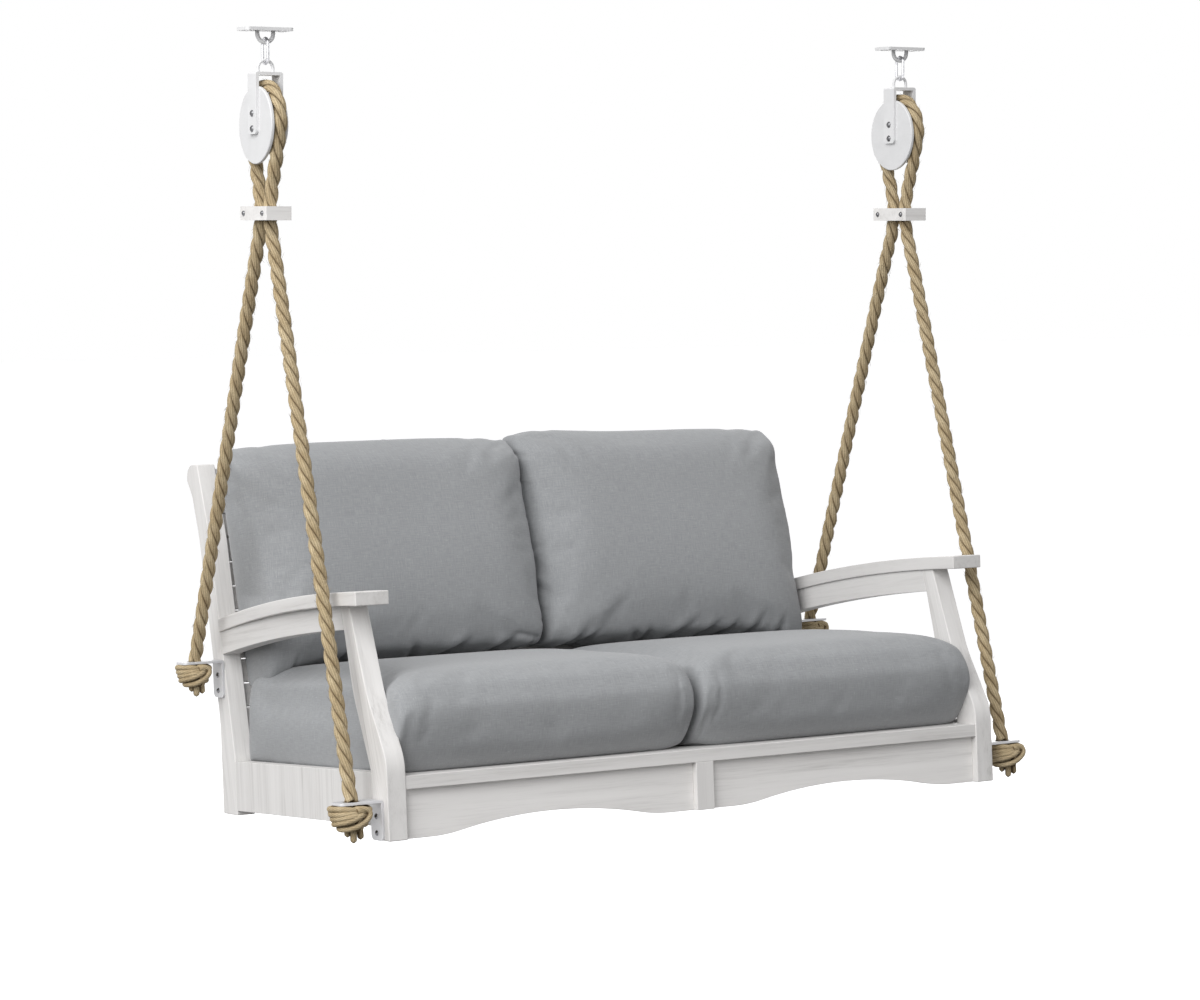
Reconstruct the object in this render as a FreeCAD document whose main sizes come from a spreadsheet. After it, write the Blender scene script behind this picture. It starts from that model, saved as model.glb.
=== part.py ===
import FreeCAD, Part
import math
import os
import re
import Sketcher

# Loveseat swing: a whitewashed two-seat bench hung by two ropes. Each rope goes over a fixed
# block, is pinched by a clamp below it, and ends in two stopper knots under steel brackets.
# Frame: +Z up, +X to the right in a front view, +Y to the rear. Origin on the ceiling face,
# midway between the two hangers. Millimetres.

Vector = FreeCAD.Vector
doc = FreeCAD.newDocument("loveseat_swing")
sheet = doc.addObject("Spreadsheet::Sheet", "Sizes")

SIZES = [
    # Ceiling hangers, chain links and the eyes on the blocks
    ("hang_outset", 44.8, "ceiling loops out from the outsides of the posts"),
    ("rope_splay", 0.37, "degrees that each rope leans outward on its way down"),
    ("plate_long", 96.0, "ceiling plate along X"),
    ("plate_wide", 50.0, "ceiling plate along Y"),
    ("plate_thick", 6.0, "ceiling plate"),
    ("plate_corner", 8.0, "ceiling plate corner radius"),
    ("plate_hole", 7.0, "screw hole in the ceiling plate"),
    ("plate_hole_x", 70.0, "screw hole pitch along X"),
    ("plate_hole_y", 28.0, "screw hole pitch along Y"),
    ("loop_rod", 8.0, "rod of the ceiling loop"),
    ("loop_gap", 24.0, "inside width of the ceiling loop"),
    ("loop_drop", 20.8, "plate underside to the loop's lowest rod centre"),
    ("link_rod", 6.0, "rod of the chain link"),
    ("link_gap", 17.0, "inside width of the chain link"),
    ("link_pitch", 46.0, "rod centre to rod centre along the link"),
    ("run_gap", 0.3, "running gap between hooked rods"),
    ("eye_rod", 6.0, "rod of the block's eye"),
    ("eye_gap", 24.0, "inside width of the eye"),
    ("eye_rise", 25.0, "top of the eye above the strap"),
    # Blocks
    ("strap_thick", 6.0, "bent strap of the block"),
    ("strap_wide", 36.0, "strap along Y"),
    ("strap_drop", 96.7, "strap top to the middle of the cheeks"),
    ("strap_tail", 17.0, "strap end below the middle of the cheeks"),
    ("strap_corner", 8.0, "rounded lower corners of the strap"),
    ("strap_bend", 4.0, "outside radius of the strap's bends"),
    ("cheek_radius", 71.5, "cheek disc on the -X side of a block"),
    ("small_cheek_radius", 56.0, "cheek disc on the +X side, lower than the rope"),
    ("cheek_thick", 7.0, "cheek disc"),
    ("cheek_ease", 2.0, "rounded rim of the larger cheek"),
    ("small_cheek_ease", 3.4, "rounded rim of the smaller cheek"),
    ("hub_radius", 51.5, "hub that the rope goes over"),
    ("hub_rise", 7.0, "hub and bolts above the middle of the cheeks"),
    ("block_bolt", 8.0, "bolts through the block"),
    ("block_bolt_pitch", 28.0, "between the two block bolts"),
    ("bolt_fit", 0.15, "radial clearance round bolts and screws"),
    ("head_wide", 13.0, "domed bolt head"),
    ("head_rise", 4.0, "domed bolt head"),
    # Ropes and clamps
    ("rope_dia", 24.5, "laid rope"),
    ("rope_side_gap", 2.0, "rope to each cheek"),
    ("rope_seat_gap", 0.3, "rope to the hub"),
    ("rope_pinch", 41.0, "between the two runs at the clamp"),
    ("rope_pinch_radius", 50.0, "bend of a run where the clamp pinches it"),
    ("rope_end_lift", 2.3, "rope end above the middle of the bracket plate"),
    ("clamp_drop", 161.5, "middle of the cheeks to the middle of the clamp"),
    ("clamp_long", 114.0, "clamp along Y"),
    ("clamp_deep", 51.6, "clamp along X, both halves"),
    ("clamp_high", 25.4, "clamp along Z"),
    ("clamp_ease", 1.5, "rounded edges of the clamp"),
    ("clamp_bolt", 6.0, "bolts through the clamp"),
    ("clamp_bolt_pitch", 81.0, "between the two clamp bolts"),
    ("clamp_head_wide", 10.5, "domed head of the clamp bolts"),
    # Seat frame, in the frame of the seat: floor of the feet at 0, front of the feet at 0
    ("seat_tilt", 4.4, "degrees that the hung seat leans back"),
    ("seat_drop", 1452.0, "ceiling to the front feet"),
    ("seat_ahead", 398.0, "front feet ahead of the hanging line"),
    ("frame_width", 1332.4, "across the outsides of the posts"),
    ("frame_depth", 716.0, "front to back of the feet"),
    ("post_thick", 38.1, "posts, arm rails"),
    ("edge_ease", 2.0, "rounded edges of the boards"),
    ("front_foot", 62.0, "front post at the foot"),
    ("front_knee", 145.0, "height where the front post starts to rake"),
    ("front_bend_share", 0.3773, "height of the front post's second bend, from the knee to the arm"),
    ("front_bend_run", 68.0, "front edge at that bend"),
    ("front_bend_deep", 55.0, "front post at that bend"),
    ("front_top_run", 126.0, "front edge at the top"),
    ("front_top_deep", 34.0, "front post at the top"),
    ("front_knee_round", 90.0, "rounding of the front knee"),
    ("front_bend_round", 260.0, "rounding of the front post's bends"),
    ("rear_foot", 64.0, "rear post at the foot"),
    ("rear_flare", 108.0, "height where the rear post narrows"),
    ("post_deep", 50.0, "rear post above the flare"),
    ("back_knee", 182.0, "height where the back starts to lean"),
    ("back_lean", 10.6, "degrees of the back"),
    ("head_start", 540.0, "height where the head leans further"),
    ("head_lean", 18.0, "degrees of the head"),
    ("back_height", 683.0, "top of the rear posts"),
    ("back_bend_round", 400.0, "rounding of the rear post's bends"),
    ("flare_round", 70.0, "rounding of the rear post's flare"),
    ("scroll_start", 620.0, "height where the rolled top starts"),
    ("scroll_height", 650.0, "height of the rolled top's outermost point"),
    ("scroll_out", 12.0, "rolled top past the back edge"),
    ("scroll_round", 26.0, "rounded top corner of the rear post"),
    # Arms
    ("arm_front", 48.0, "front end of the arm board"),
    ("arm_height", 444.5, "top of the arm board at its front end"),
    ("arm_fall", 64.5, "drop of the arm board from front to rear"),
    ("arm_bow", 13.5, "upward bow of the arm board"),
    ("arm_thick", 25.4, "arm board"),
    ("arm_inside", 4.8, "arm board past the inside of the posts"),
    ("arm_outside", 24.3, "arm board past the outside of the posts at the front"),
    ("arm_outside_rear", 3.0, "the same at the rear"),
    ("arm_rail_deep", 43.0, "rail under the arm board"),
    # Rails, apron and deck
    ("side_rail_top", 120.0, "top of the side rail at the front post"),
    ("side_rail_fall", 15.0, "drop of the side rail to the rear post"),
    ("side_rail_high", 96.0, "side rail"),
    ("side_rail_thick", 25.4, "side rail"),
    ("front_rail_top", 114.0, "top of the front rail"),
    ("front_rail_thick", 24.0, "front rail"),
    ("front_rail_deep", 70.0, "front rail"),
    ("front_rail_set", 2.0, "front rail behind the front of the posts"),
    ("apron_set", 15.0, "apron behind the front of the posts"),
    ("apron_thick", 19.0, "apron"),
    ("scallop_flat", 54.0, "level end of the apron's lower edge"),
    ("scallop_rise", 26.0, "rise of the apron's lower edge"),
    ("scallop_turn", 300.0, "radius of the turn into the arch"),
    ("stile_wide", 38.0, "centre stile"),
    ("rear_rail_low", 12.0, "rear rail above the feet"),
    ("rear_rail_high", 88.0, "rear rail"),
    ("rear_rail_thick", 25.4, "rear rail"),
    ("rear_rail_set", 6.0, "rear rail behind the front of the rear feet"),
    ("bearer_wide", 38.0, "centre bearer"),
    ("bearer_high", 62.0, "centre bearer below the slats"),
    ("cleat_wide", 25.0, "cleat inside the side rail"),
    ("cleat_high", 25.0, "cleat inside the side rail"),
    ("deck_slope", 1.5, "degrees that the deck falls to the rear"),
    ("deck_slat_wide", 50.0, "seat slat"),
    ("deck_slat_gap", 7.0, "between seat slats"),
    ("deck_slat_thick", 18.0, "seat slat"),
    ("back_slat_wide", 44.7, "back slat"),
    ("back_slat_gap", 3.5, "between back slats"),
    ("back_slat_thick", 18.0, "back slat"),
    ("back_slat_set", 14.0, "back slats behind the front of the rear posts"),
    ("back_slat_low", 112.0, "lowest back slat"),
    # Rope brackets and stopper knots
    ("bracket_thick", 5.0, "L bracket"),
    ("bracket_wide", 45.0, "L bracket along Y"),
    ("bracket_leg", 73.5, "leg of the bracket down the post"),
    ("bracket_end", 40.0, "bracket past the middle of the rope hole"),
    ("bracket_corner", 10.0, "rounded corners of the bracket"),
    ("bracket_ease", 0.8, "rounded edges of the bracket"),
    ("rope_hole", 30.6, "hole that the rope goes through"),
    ("front_hole_back", 38.0, "front rope hole behind the front of the feet"),
    ("rear_hole_back", 19.0, "rear rope hole behind the front of the rear post"),
    ("rear_bracket_height", 301.0, "top of the rear bracket"),
    ("screw_dia", 6.0, "bracket screws"),
    ("screw_long", 30.0, "bracket screw in the post"),
    ("screw_first", 30.0, "first screw below the top of the bracket"),
    ("screw_pitch", 30.0, "between the two screws"),
    ("screw_head", 11.0, "domed screw head"),
    ("screw_rise", 3.5, "domed screw head"),
    ("knot_radius", 39.0, "stopper knot"),
    ("knot_out", 3.5, "stopper knot outward from the rope"),
    ("knot_pass", 13.0, "height of one turn of the knot"),
    ("knot_seat_gap", 0.1, "top of the knot under its bracket"),
    ("knot_tail", 16.0, "strand tails below the knot"),
    ("knot_tail_dia", 12.0, "strand tail"),
    # Cushions
    ("seat_pad_side_gap", 3.0, "seat cushion to the inside of the posts"),
    ("back_pad_side_gap", 8.0, "back cushion to the inside of the posts"),
    ("cushion_mid_gap", 4.0, "between left and right cushions"),
    ("cushion_rest", 0.4, "cushions above what they rest on"),
    ("seat_pad_front", 15.0, "seat cushion ahead of the posts at its fullest"),
    ("seat_pad_back_gap", 14.0, "seat cushion to the back slats"),
    ("seat_pad_thick", 192.0, "seat cushion at its crown"),
    ("seat_pad_drop", 12.0, "crown above the cushion's front and rear"),
    ("seat_pad_draw", 16.0, "drawn-in sides of the seat cushion"),
    ("seat_pad_under", 28.0, "underside of the seat cushion behind its front"),
    ("seat_pad_brow", 36.0, "top edge of the seat cushion behind its front"),
    ("seat_pad_nose", 4.0, "bulge of the seat cushion's front"),
    ("seat_pad_low_round", 30.0, "lower edges of the seat cushion"),
    ("seat_pad_top_round", 52.0, "upper edges of the seat cushion"),
    ("seat_pad_nose_round", 44.0, "front of the seat cushion"),
    ("seat_pad_crown_round", 2200.0, "crown of the seat cushion"),
    ("back_pad_thick", 172.0, "back cushion at its crown"),
    ("back_pad_side", 122.0, "back cushion at its sides"),
    ("back_pad_high", 444.0, "back cushion along the back"),
    ("back_pad_draw", 14.0, "drawn-in sides of the back cushion"),
    ("back_pad_shoulder", 12.0, "rear top edge of the back cushion below its height"),
    ("back_pad_peak", 6.0, "top of the back cushion above its height"),
    ("back_pad_brow", 34.0, "front top edge of the back cushion below its height"),
    ("back_pad_foot_round", 22.0, "rear lower edge of the back cushion"),
    ("back_pad_rear_round", 26.0, "rear top edge of the back cushion"),
    ("back_pad_top_round", 38.0, "top of the back cushion"),
    ("back_pad_brow_round", 66.0, "front top edge of the back cushion"),
    ("back_pad_front_round", 420.0, "front of the back cushion"),
    ("back_pad_toe_round", 38.0, "front lower edge of the back cushion"),
]

for row, (alias, value, note) in enumerate(SIZES, start=1):
    sheet.set("A%d" % row, alias)
    sheet.set("B%d" % row, str(value))
    sheet.setAlias("B%d" % row, alias)
    sheet.set("C%d" % row, note)
doc.recompute()
ALIASES = {alias for alias, value, note in SIZES}


def cells(text):
    """The expression with every size's name pointing at its cell."""
    return re.sub(r"[a-z][a-z_]*", lambda word: "Sizes." + word[0] if word[0] in ALIASES else word[0], text)


def num(text):
    """The value of an expression of sizes."""
    return float(sheet.evalExpression(cells(text)))


def bind(thing, prop, text):
    thing.setExpression(prop, cells(text))


# Heights and places that several pieces share, as expressions of the sizes
HALF_SPAN = "(frame_width / 2 + hang_outset)"
LOOP_Z = "(-plate_thick - loop_drop)"
LINK_TOP = "(%s + (loop_rod + link_rod) / 2 + run_gap)" % LOOP_Z
LINK_LOW = "(%s - link_pitch)" % LINK_TOP
EYE_Z = "(%s + (link_rod + eye_rod) / 2 + run_gap)" % LINK_LOW
STRAP_Z = "(%s + eye_rod / 2 - eye_rise)" % EYE_Z
DISC_Z = "(%s - strap_drop)" % STRAP_Z
HUB_Z = "(%s + hub_rise)" % DISC_Z
CLAMP_Z = "(%s - clamp_drop)" % DISC_Z
HUB_WIDE = "(rope_dia + 2 * rope_side_gap)"
WRAP = "(hub_radius + rope_seat_gap + rope_dia / 2)"
OUTSIDE = "(frame_width / 2)"
INSIDE = "(frame_width / 2 - post_thick)"
POST_X = "(frame_width / 2 - post_thick / 2)"
REAR_FOOT = "(frame_depth - rear_foot)"


def back_face(height):
    """Front edge of the leaning part of the rear post at a height."""
    return "(frame_depth - post_deep + tan(back_lean) * (%s - back_knee))" % height


def head_face(height):
    """Front edge of the head of the rear post at a height."""
    return "(%s + tan(head_lean) * (%s - head_start))" % (back_face("head_start"), height)


def deck(place):
    """Top of the seat slats at a distance behind the front of the feet."""
    front = "(front_rail_set + front_rail_deep)"
    return "(front_rail_top - tan(deck_slope) * (%s - %s))" % (place, front)


SIDES = (("left", -1), ("right", 1))
nodes = []


def keep(piece, label):
    piece.Label = label
    nodes.append(piece)
    return piece


def on_seat(piece, x="0"):
    """Places a piece of the seat, drawn in the seat's frame, in the hung and tilted seat."""
    piece.Placement = FreeCAD.Placement(Vector(), FreeCAD.Rotation(Vector(-1, 0, 0), num("seat_tilt")))
    bind(piece, "Placement.Rotation.Angle", "seat_tilt")
    bind(piece, "Placement.Base.x", x)
    bind(piece, "Placement.Base.y", "-seat_ahead")
    bind(piece, "Placement.Base.z", "-seat_drop")


def hung(piece, x, z):
    """Places a piece above the swivel, drawn about its own middle."""
    bind(piece, "Placement.Base.x", x)
    bind(piece, "Placement.Base.z", z)


def splayed(piece, sign, z):
    """Places a piece that hangs from a chain link, leaning outward about the link's lower bend."""
    fall = "(%s - %s)" % (z, LINK_LOW)
    piece.Placement = FreeCAD.Placement(Vector(), FreeCAD.Rotation(Vector(0, -sign, 0), num("rope_splay")))
    bind(piece, "Placement.Rotation.Angle", "rope_splay")
    bind(piece, "Placement.Base.x", "%d * (%s - sin(rope_splay) * %s)" % (sign, HALF_SPAN, fall))
    bind(piece, "Placement.Base.z", "%s + cos(rope_splay) * %s" % (LINK_LOW, fall))


def new_sketch(body, plane, offset):
    sketch = body.newObject("Sketcher::SketchObject", body.Name + "_sketch")
    support = [feature for feature in body.Origin.OriginFeatures if feature.Role == plane][0]
    sketch.AttachmentSupport = [(support, "")]
    sketch.MapMode = "FlatFace"
    bind(sketch, "AttachmentOffset.Base.z", offset)
    return sketch


def draw(sketch, corners):
    """Closed outline through corners (u, v, rounding, bow); a bow curves the edge that follows."""
    spots = [Vector(num(corner[0]), num(corner[1]), 0) for corner in corners]
    count = len(spots)
    for index, corner in enumerate(corners):
        here, there = spots[index], spots[(index + 1) % count]
        if corner[3]:
            chord = there - here
            left = Vector(-chord.y, chord.x, 0).normalize()
            middle = (here + there) * 0.5 - left * num(corner[3])
            sketch.addGeometry(Part.Arc(here, middle, there))
        else:
            sketch.addGeometry(Part.LineSegment(here, there))
    starts = [1 if (sketch.getPoint(k, 1) - spots[k]).Length < 1e-6 else 2 for k in range(count)]
    for index, corner in enumerate(corners):
        before = (index - 1) % count
        joint = Sketcher.Constraint("Coincident", before, 3 - starts[before], index, starts[index])
        sketch.addConstraint(joint)
        spot = spots[index]
        for kind, text, value in (("DistanceX", corner[0], spot.x), ("DistanceY", corner[1], spot.y)):
            place = sketch.addConstraint(Sketcher.Constraint(kind, -1, 1, index, starts[index], value))
            bind(sketch, "Constraints[%d]" % place, text)
        if corner[3]:
            after = corners[(index + 1) % count]
            chord = "(((%s) - (%s))^2 + ((%s) - (%s))^2)" % (after[0], corner[0], after[1], corner[1])
            bow = "abs(%s)" % corner[3]
            radius = "%s / (8 * %s) + %s / 2" % (chord, bow, bow)
            place = sketch.addConstraint(Sketcher.Constraint("Radius", index, num(radius)))
            bind(sketch, "Constraints[%d]" % place, radius)


def corner(u, v, rounding=None, bow=None):
    return (u, v, rounding, bow)


AXES = {"YZ_Plane": ("y", "z", "x"), "XZ_Plane": ("x", "z", "y"), "XY_Plane": ("x", "y", "z")}


def round_corners(body, plane, corners):
    """Rounds the marked corners of a padded outline, one fillet for each radius."""
    u, v, w = AXES[plane]
    for rounding in sorted({c[2] for c in corners if c[2]}):
        doc.recompute()
        tip = body.Tip
        picked = []
        for number, edge in enumerate(tip.Shape.Edges, start=1):
            ends = [vertex.Point for vertex in edge.Vertexes]
            if len(ends) != 2 or abs(getattr(ends[1] - ends[0], w)) < 0.999 * edge.Length:
                continue
            spot = (getattr(ends[0], u), getattr(ends[0], v))
            for c in corners:
                if c[2] == rounding and math.dist(spot, (num(c[0]), num(c[1]))) < 1e-4:
                    picked.append("Edge%d" % number)
        fillet = body.newObject("PartDesign::Fillet", body.Name + "_round")
        fillet.Base = (tip, picked)
        bind(fillet, "Radius", rounding)


def ease(body, radius):
    """Takes the sharpness off every edge."""
    doc.recompute()
    tip = body.Tip
    fillet = body.newObject("PartDesign::Fillet", body.Name + "_ease")
    fillet.Base = (tip, ["Edge1"])
    fillet.UseAllEdges = True
    bind(fillet, "Radius", radius)


def board(name, plane, corners, thick, offset="0"):
    """A flat piece: an outline on a plane, padded to both sides of it."""
    body = doc.addObject("PartDesign::Body", name)
    sketch = new_sketch(body, plane, offset)
    draw(sketch, corners)
    pad = body.newObject("PartDesign::Pad", name + "_pad")
    pad.Profile = sketch
    pad.SideType = "Symmetric"
    bind(pad, "Length", thick)
    round_corners(body, plane, corners)
    return body


def disc(name, radius, thick, offset="0"):
    """A round plate about the X axis."""
    body = doc.addObject("PartDesign::Body", name)
    sketch = new_sketch(body, "YZ_Plane", offset)
    circles(sketch, [("0", "0")], "2 * " + radius)
    pad = body.newObject("PartDesign::Pad", name + "_pad")
    pad.Profile = sketch
    pad.SideType = "Symmetric"
    bind(pad, "Length", thick)
    return body


def circles(sketch, spots, diameter):
    for index, (u, v) in enumerate(spots):
        middle = Vector(num(u), num(v), 0)
        sketch.addGeometry(Part.Circle(middle, Vector(0, 0, 1), num(diameter) / 2))
        for kind, text, value in (("DistanceX", u, middle.x), ("DistanceY", v, middle.y)):
            place = sketch.addConstraint(Sketcher.Constraint(kind, -1, 1, index, 3, value))
            bind(sketch, "Constraints[%d]" % place, text)
        place = sketch.addConstraint(Sketcher.Constraint("Diameter", index, num(diameter)))
        bind(sketch, "Constraints[%d]" % place, diameter)


def bore(body, plane, spots, diameter, offset="0", depth=None, inward=True):
    """Round holes, right through or to a depth from a face that lies at the offset."""
    sketch = new_sketch(body, plane, offset)
    circles(sketch, spots, diameter)
    pocket = body.newObject("PartDesign::Pocket", body.Name + "_bore")
    pocket.Profile = sketch
    if depth is None:
        pocket.Type = "ThroughAll"
        pocket.SideType = "Symmetric"
    else:
        bind(pocket, "Length", depth)
        pocket.Reversed = not inward


def staple(name, rod, gap, rise, upward):
    """A round bar bent to a U in the XZ plane: a half ring on two legs that start at z = 0."""
    turn = 90 if upward else -90
    sign = "" if upward else "-"
    radius = "((%s + %s) / 2)" % (gap, rod)
    legs = "(%s - %s / 2 - %s)" % (rise, rod, radius)
    ring = doc.addObject("Part::Torus", name + "_ring")
    bind(ring, "Radius1", radius)
    bind(ring, "Radius2", rod + " / 2")
    ring.Angle3 = 180
    ring.Placement = FreeCAD.Placement(Vector(), FreeCAD.Rotation(Vector(1, 0, 0), turn))
    bind(ring, "Placement.Base.z", sign + legs)
    bars = [ring]
    for side in "+-":
        leg = doc.addObject("Part::Cylinder", name + "_leg")
        bind(leg, "Radius", rod + " / 2")
        bind(leg, "Height", legs)
        bind(leg, "Placement.Base.x", side + radius)
        if not upward:
            bind(leg, "Placement.Base.z", "-" + legs)
        bars.append(leg)
    return bars


def fused(name, shapes):
    whole = doc.addObject("Part::MultiFuse", name)
    whole.Shapes = shapes
    whole.Refine = True
    return whole


def solid(name, shape):
    """A piece, or a group of like pieces, shaped by functions that read the sizes."""
    piece = doc.addObject("Part::Feature", name)
    piece.Shape = Part.makeCompound(shape.Solids)
    return piece


def domed_bolt(diameter, length, head, rise, both_ends):
    """A bolt along +X whose head sits on x = 0, on the -X side, with an acorn nut if both ends show."""
    ball = (head * head / 4 + rise * rise) / (2 * rise)
    cap_angle = math.degrees(math.asin((ball - rise) / ball))
    shape = Part.makeCylinder(diameter / 2, length, Vector(), Vector(1, 0, 0))
    cap = Part.makeSphere(ball, Vector(ball - rise, 0, 0), Vector(-1, 0, 0), cap_angle, 90, 360)
    shape = shape.fuse(cap)
    if both_ends:
        far = Vector(length - ball + rise, 0, 0)
        shape = shape.fuse(Part.makeSphere(ball, far, Vector(1, 0, 0), cap_angle, 90, 360))
    return shape.removeSplitter()


def moved(shape, x, y, z):
    copy = shape.copy()
    copy.translate(Vector(x, y, z))
    return copy


# Ceiling hangers: a screwed plate with a welded loop
for side, sign in SIDES:
    name = side + "_ceiling_hanger"
    half_x, half_y = "plate_long / 2", "plate_wide / 2"
    plate = board(name + "_plate", "XY_Plane", [
        corner("-" + half_x, "-" + half_y, "plate_corner"),
        corner(half_x, "-" + half_y, "plate_corner"),
        corner(half_x, half_y, "plate_corner"),
        corner("-" + half_x, half_y, "plate_corner"),
    ], "plate_thick", "plate_thick / 2")
    screws = [(a + "plate_hole_x / 2", b + "plate_hole_y / 2") for a in ("", "-") for b in ("", "-")]
    bore(plate, "XY_Plane", screws, "plate_hole")
    loop = staple(name + "_loop", "loop_rod", "loop_gap", "(loop_drop + loop_rod / 2)", False)
    hanger = keep(fused(name, [plate] + loop), name)
    hung(hanger, "%d * %s" % (sign, HALF_SPAN), "-plate_thick")

# Chain links: a closed stadium of round bar in the YZ plane, hooked through the ceiling loop
for side, sign in SIDES:
    name = side + "_chain_link"
    radius = "((link_gap + link_rod) / 2)"
    straight = "(link_pitch - 2 * %s)" % radius
    bars = []
    for turn, place in ((0, "%s / 2" % straight), (180, "-%s / 2" % straight)):
        bend = doc.addObject("Part::Torus", name + "_bend")
        bind(bend, "Radius1", radius)
        bind(bend, "Radius2", "link_rod / 2")
        bend.Angle3 = 180
        upright = FreeCAD.Rotation(Vector(0, 0, 1), 90).multiply(FreeCAD.Rotation(Vector(1, 0, 0), 90 + turn))
        bend.Placement = FreeCAD.Placement(Vector(), upright)
        bind(bend, "Placement.Base.z", place)
        bars.append(bend)
    for edge in "+-":
        bar = doc.addObject("Part::Cylinder", name + "_bar")
        bind(bar, "Radius", "link_rod / 2")
        bind(bar, "Height", straight)
        bind(bar, "Placement.Base.y", edge + radius)
        bind(bar, "Placement.Base.z", "-%s / 2" % straight)
        bars.append(bar)
    link = keep(fused(name, bars), name)
    hung(link, "%d * %s" % (sign, HALF_SPAN), "%s - link_pitch / 2" % LINK_TOP)

# Blocks: a bent strap with a welded eye carries a large and a small cheek disc and the hub between
# them. The two blocks are alike, not mirrored.
BOLT_SPOTS = [("0", "block_bolt_pitch / 2"), ("0", "-block_bolt_pitch / 2")]
BOLT_HOLE = "block_bolt + 2 * bolt_fit"
STRAP_HALF = "(%s / 2 + cheek_thick + strap_thick)" % HUB_WIDE
for side, sign in SIDES:
    outer, inner = STRAP_HALF, "(%s - strap_thick)" % STRAP_HALF
    low = "-(strap_drop + strap_tail)"
    strap = board(side + "_block_strap", "XZ_Plane", [
        corner("-" + outer, low),
        corner("-" + inner, low),
        corner("-" + inner, "-strap_thick"),
        corner(inner, "-strap_thick"),
        corner(inner, low),
        corner(outer, low),
        corner(outer, "0", "strap_bend"),
        corner("-" + outer, "0", "strap_bend"),
    ], "strap_wide")
    doc.recompute()
    bent = strap.Tip
    ends = []
    for number, edge in enumerate(bent.Shape.Edges, start=1):
        box = edge.BoundBox
        if box.XLength > 0.999 * edge.Length and box.ZMax < num(low) + 1e-4:
            ends.append("Edge%d" % number)
    tail = strap.newObject("PartDesign::Fillet", side + "_strap_tail")
    tail.Base = (bent, ends)
    bind(tail, "Radius", "strap_corner")
    bore(strap, "YZ_Plane", [(u, "%s + hub_rise - strap_drop" % v) for u, v in BOLT_SPOTS], BOLT_HOLE)
    splayed(keep(strap, side + "_block_strap"), sign, STRAP_Z)

    eye = fused(side + "_block_eye", staple(side + "_eye", "eye_rod", "eye_gap", "eye_rise", True))
    splayed(keep(eye, side + "_block_eye"), sign, STRAP_Z)

    for place, way in (("outer", sign), ("inner", -sign)):
        name = "%s_%s_cheek" % (side, place)
        size = "cheek" if way < 0 else "small_cheek"
        cheek = disc(name, size + "_radius", "cheek_thick", "%d * (%s + cheek_thick) / 2" % (way, HUB_WIDE))
        ease(cheek, size + "_ease")
        bore(cheek, "YZ_Plane", [(u, "%s + hub_rise" % v) for u, v in BOLT_SPOTS], BOLT_HOLE)
        splayed(keep(cheek, name), sign, DISC_Z)

    hub = disc(side + "_block_hub", "hub_radius", HUB_WIDE)
    bore(hub, "YZ_Plane", BOLT_SPOTS, BOLT_HOLE)
    splayed(keep(hub, side + "_block_hub"), sign, HUB_Z)

    reach = num(STRAP_HALF)
    bolt = domed_bolt(num("block_bolt"), 2 * reach, num("head_wide"), num("head_rise"), True)
    bolts = Part.makeCompound([moved(bolt, -reach, num(u), num(v)) for u, v in BOLT_SPOTS])
    splayed(keep(solid(side + "_block_bolts", bolts), side + "_block_bolts"), sign, HUB_Z)

# Clamps: two halves bolted together along X, with a groove for each run of the rope
PINCH_BEND = "(clamp_high^2 / (16 * rope_pinch_radius))"
GROOVE_Y = "(rope_pinch / 2 + %s)" % PINCH_BEND
GROOVE = "(rope_dia + 2 * %s + 2 * rope_seat_gap)" % PINCH_BEND
CLAMP_SPOTS = [("clamp_bolt_pitch / 2", "0"), ("-clamp_bolt_pitch / 2", "0")]
for side, sign in SIDES:
    for place, way in (("outer", sign), ("inner", -sign)):
        name = "%s_clamp_%s_half" % (side, place)
        far = "%d * clamp_deep / 2" % way
        half = board(name, "XY_Plane", [
            corner("0", "-clamp_long / 2"),
            corner(far, "-clamp_long / 2", "clamp_ease"),
            corner(far, "clamp_long / 2", "clamp_ease"),
            corner("0", "clamp_long / 2"),
        ], "clamp_high")
        bore(half, "XY_Plane", [("0", GROOVE_Y), ("0", "-" + GROOVE_Y)], GROOVE)
        bore(half, "YZ_Plane", CLAMP_SPOTS, "clamp_bolt + 2 * bolt_fit")
        splayed(keep(half, name), sign, CLAMP_Z)
    reach = num("clamp_deep / 2")
    bolt = domed_bolt(num("clamp_bolt"), 2 * reach, num("clamp_head_wide"), num("head_rise"), True)
    bolts = Part.makeCompound([moved(bolt, -reach, num(u), num(v)) for u, v in CLAMP_SPOTS])
    splayed(keep(solid(side + "_clamp_bolts", bolts), side + "_clamp_bolts"), sign, CLAMP_Z)

# Rear posts: a foot, a leaning back and a rolled head, sawn from one board
REAR_HOLE_Y = "(%s + rear_hole_back)" % back_face("rear_bracket_height")
FRONT_BRACKET_HEIGHT = "bracket_leg"
BRACKETS = {"front": ("front_hole_back", FRONT_BRACKET_HEIGHT), "rear": (REAR_HOLE_Y, "rear_bracket_height")}


def hole_x(end):
    """Where the splayed rope goes through its bracket, out from the middle of the seat."""
    y, top = BRACKETS[end]
    drop = "seat_drop + sin(seat_tilt) * %s - cos(seat_tilt) * (%s - bracket_thick / 2)" % (y, top)
    return "(%s + tan(rope_splay) * (%s + %s))" % (HALF_SPAN, LINK_LOW, drop)


def screw_spots(end):
    """The two bracket screws of a post, in the YZ plane of the seat."""
    y, top = BRACKETS[end]
    return [(y, "%s - screw_first" % top), (y, "%s - screw_first - screw_pitch" % top)]


def screw_holes(post, end, sign):
    """Pilot holes for the bracket screws, from the outside of the post."""
    bore(post, "YZ_Plane", screw_spots(end), "screw_dia + 2 * bolt_fit", "%d * post_thick / 2" % sign,
         "screw_long + bolt_fit", inward=sign > 0)


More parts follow.
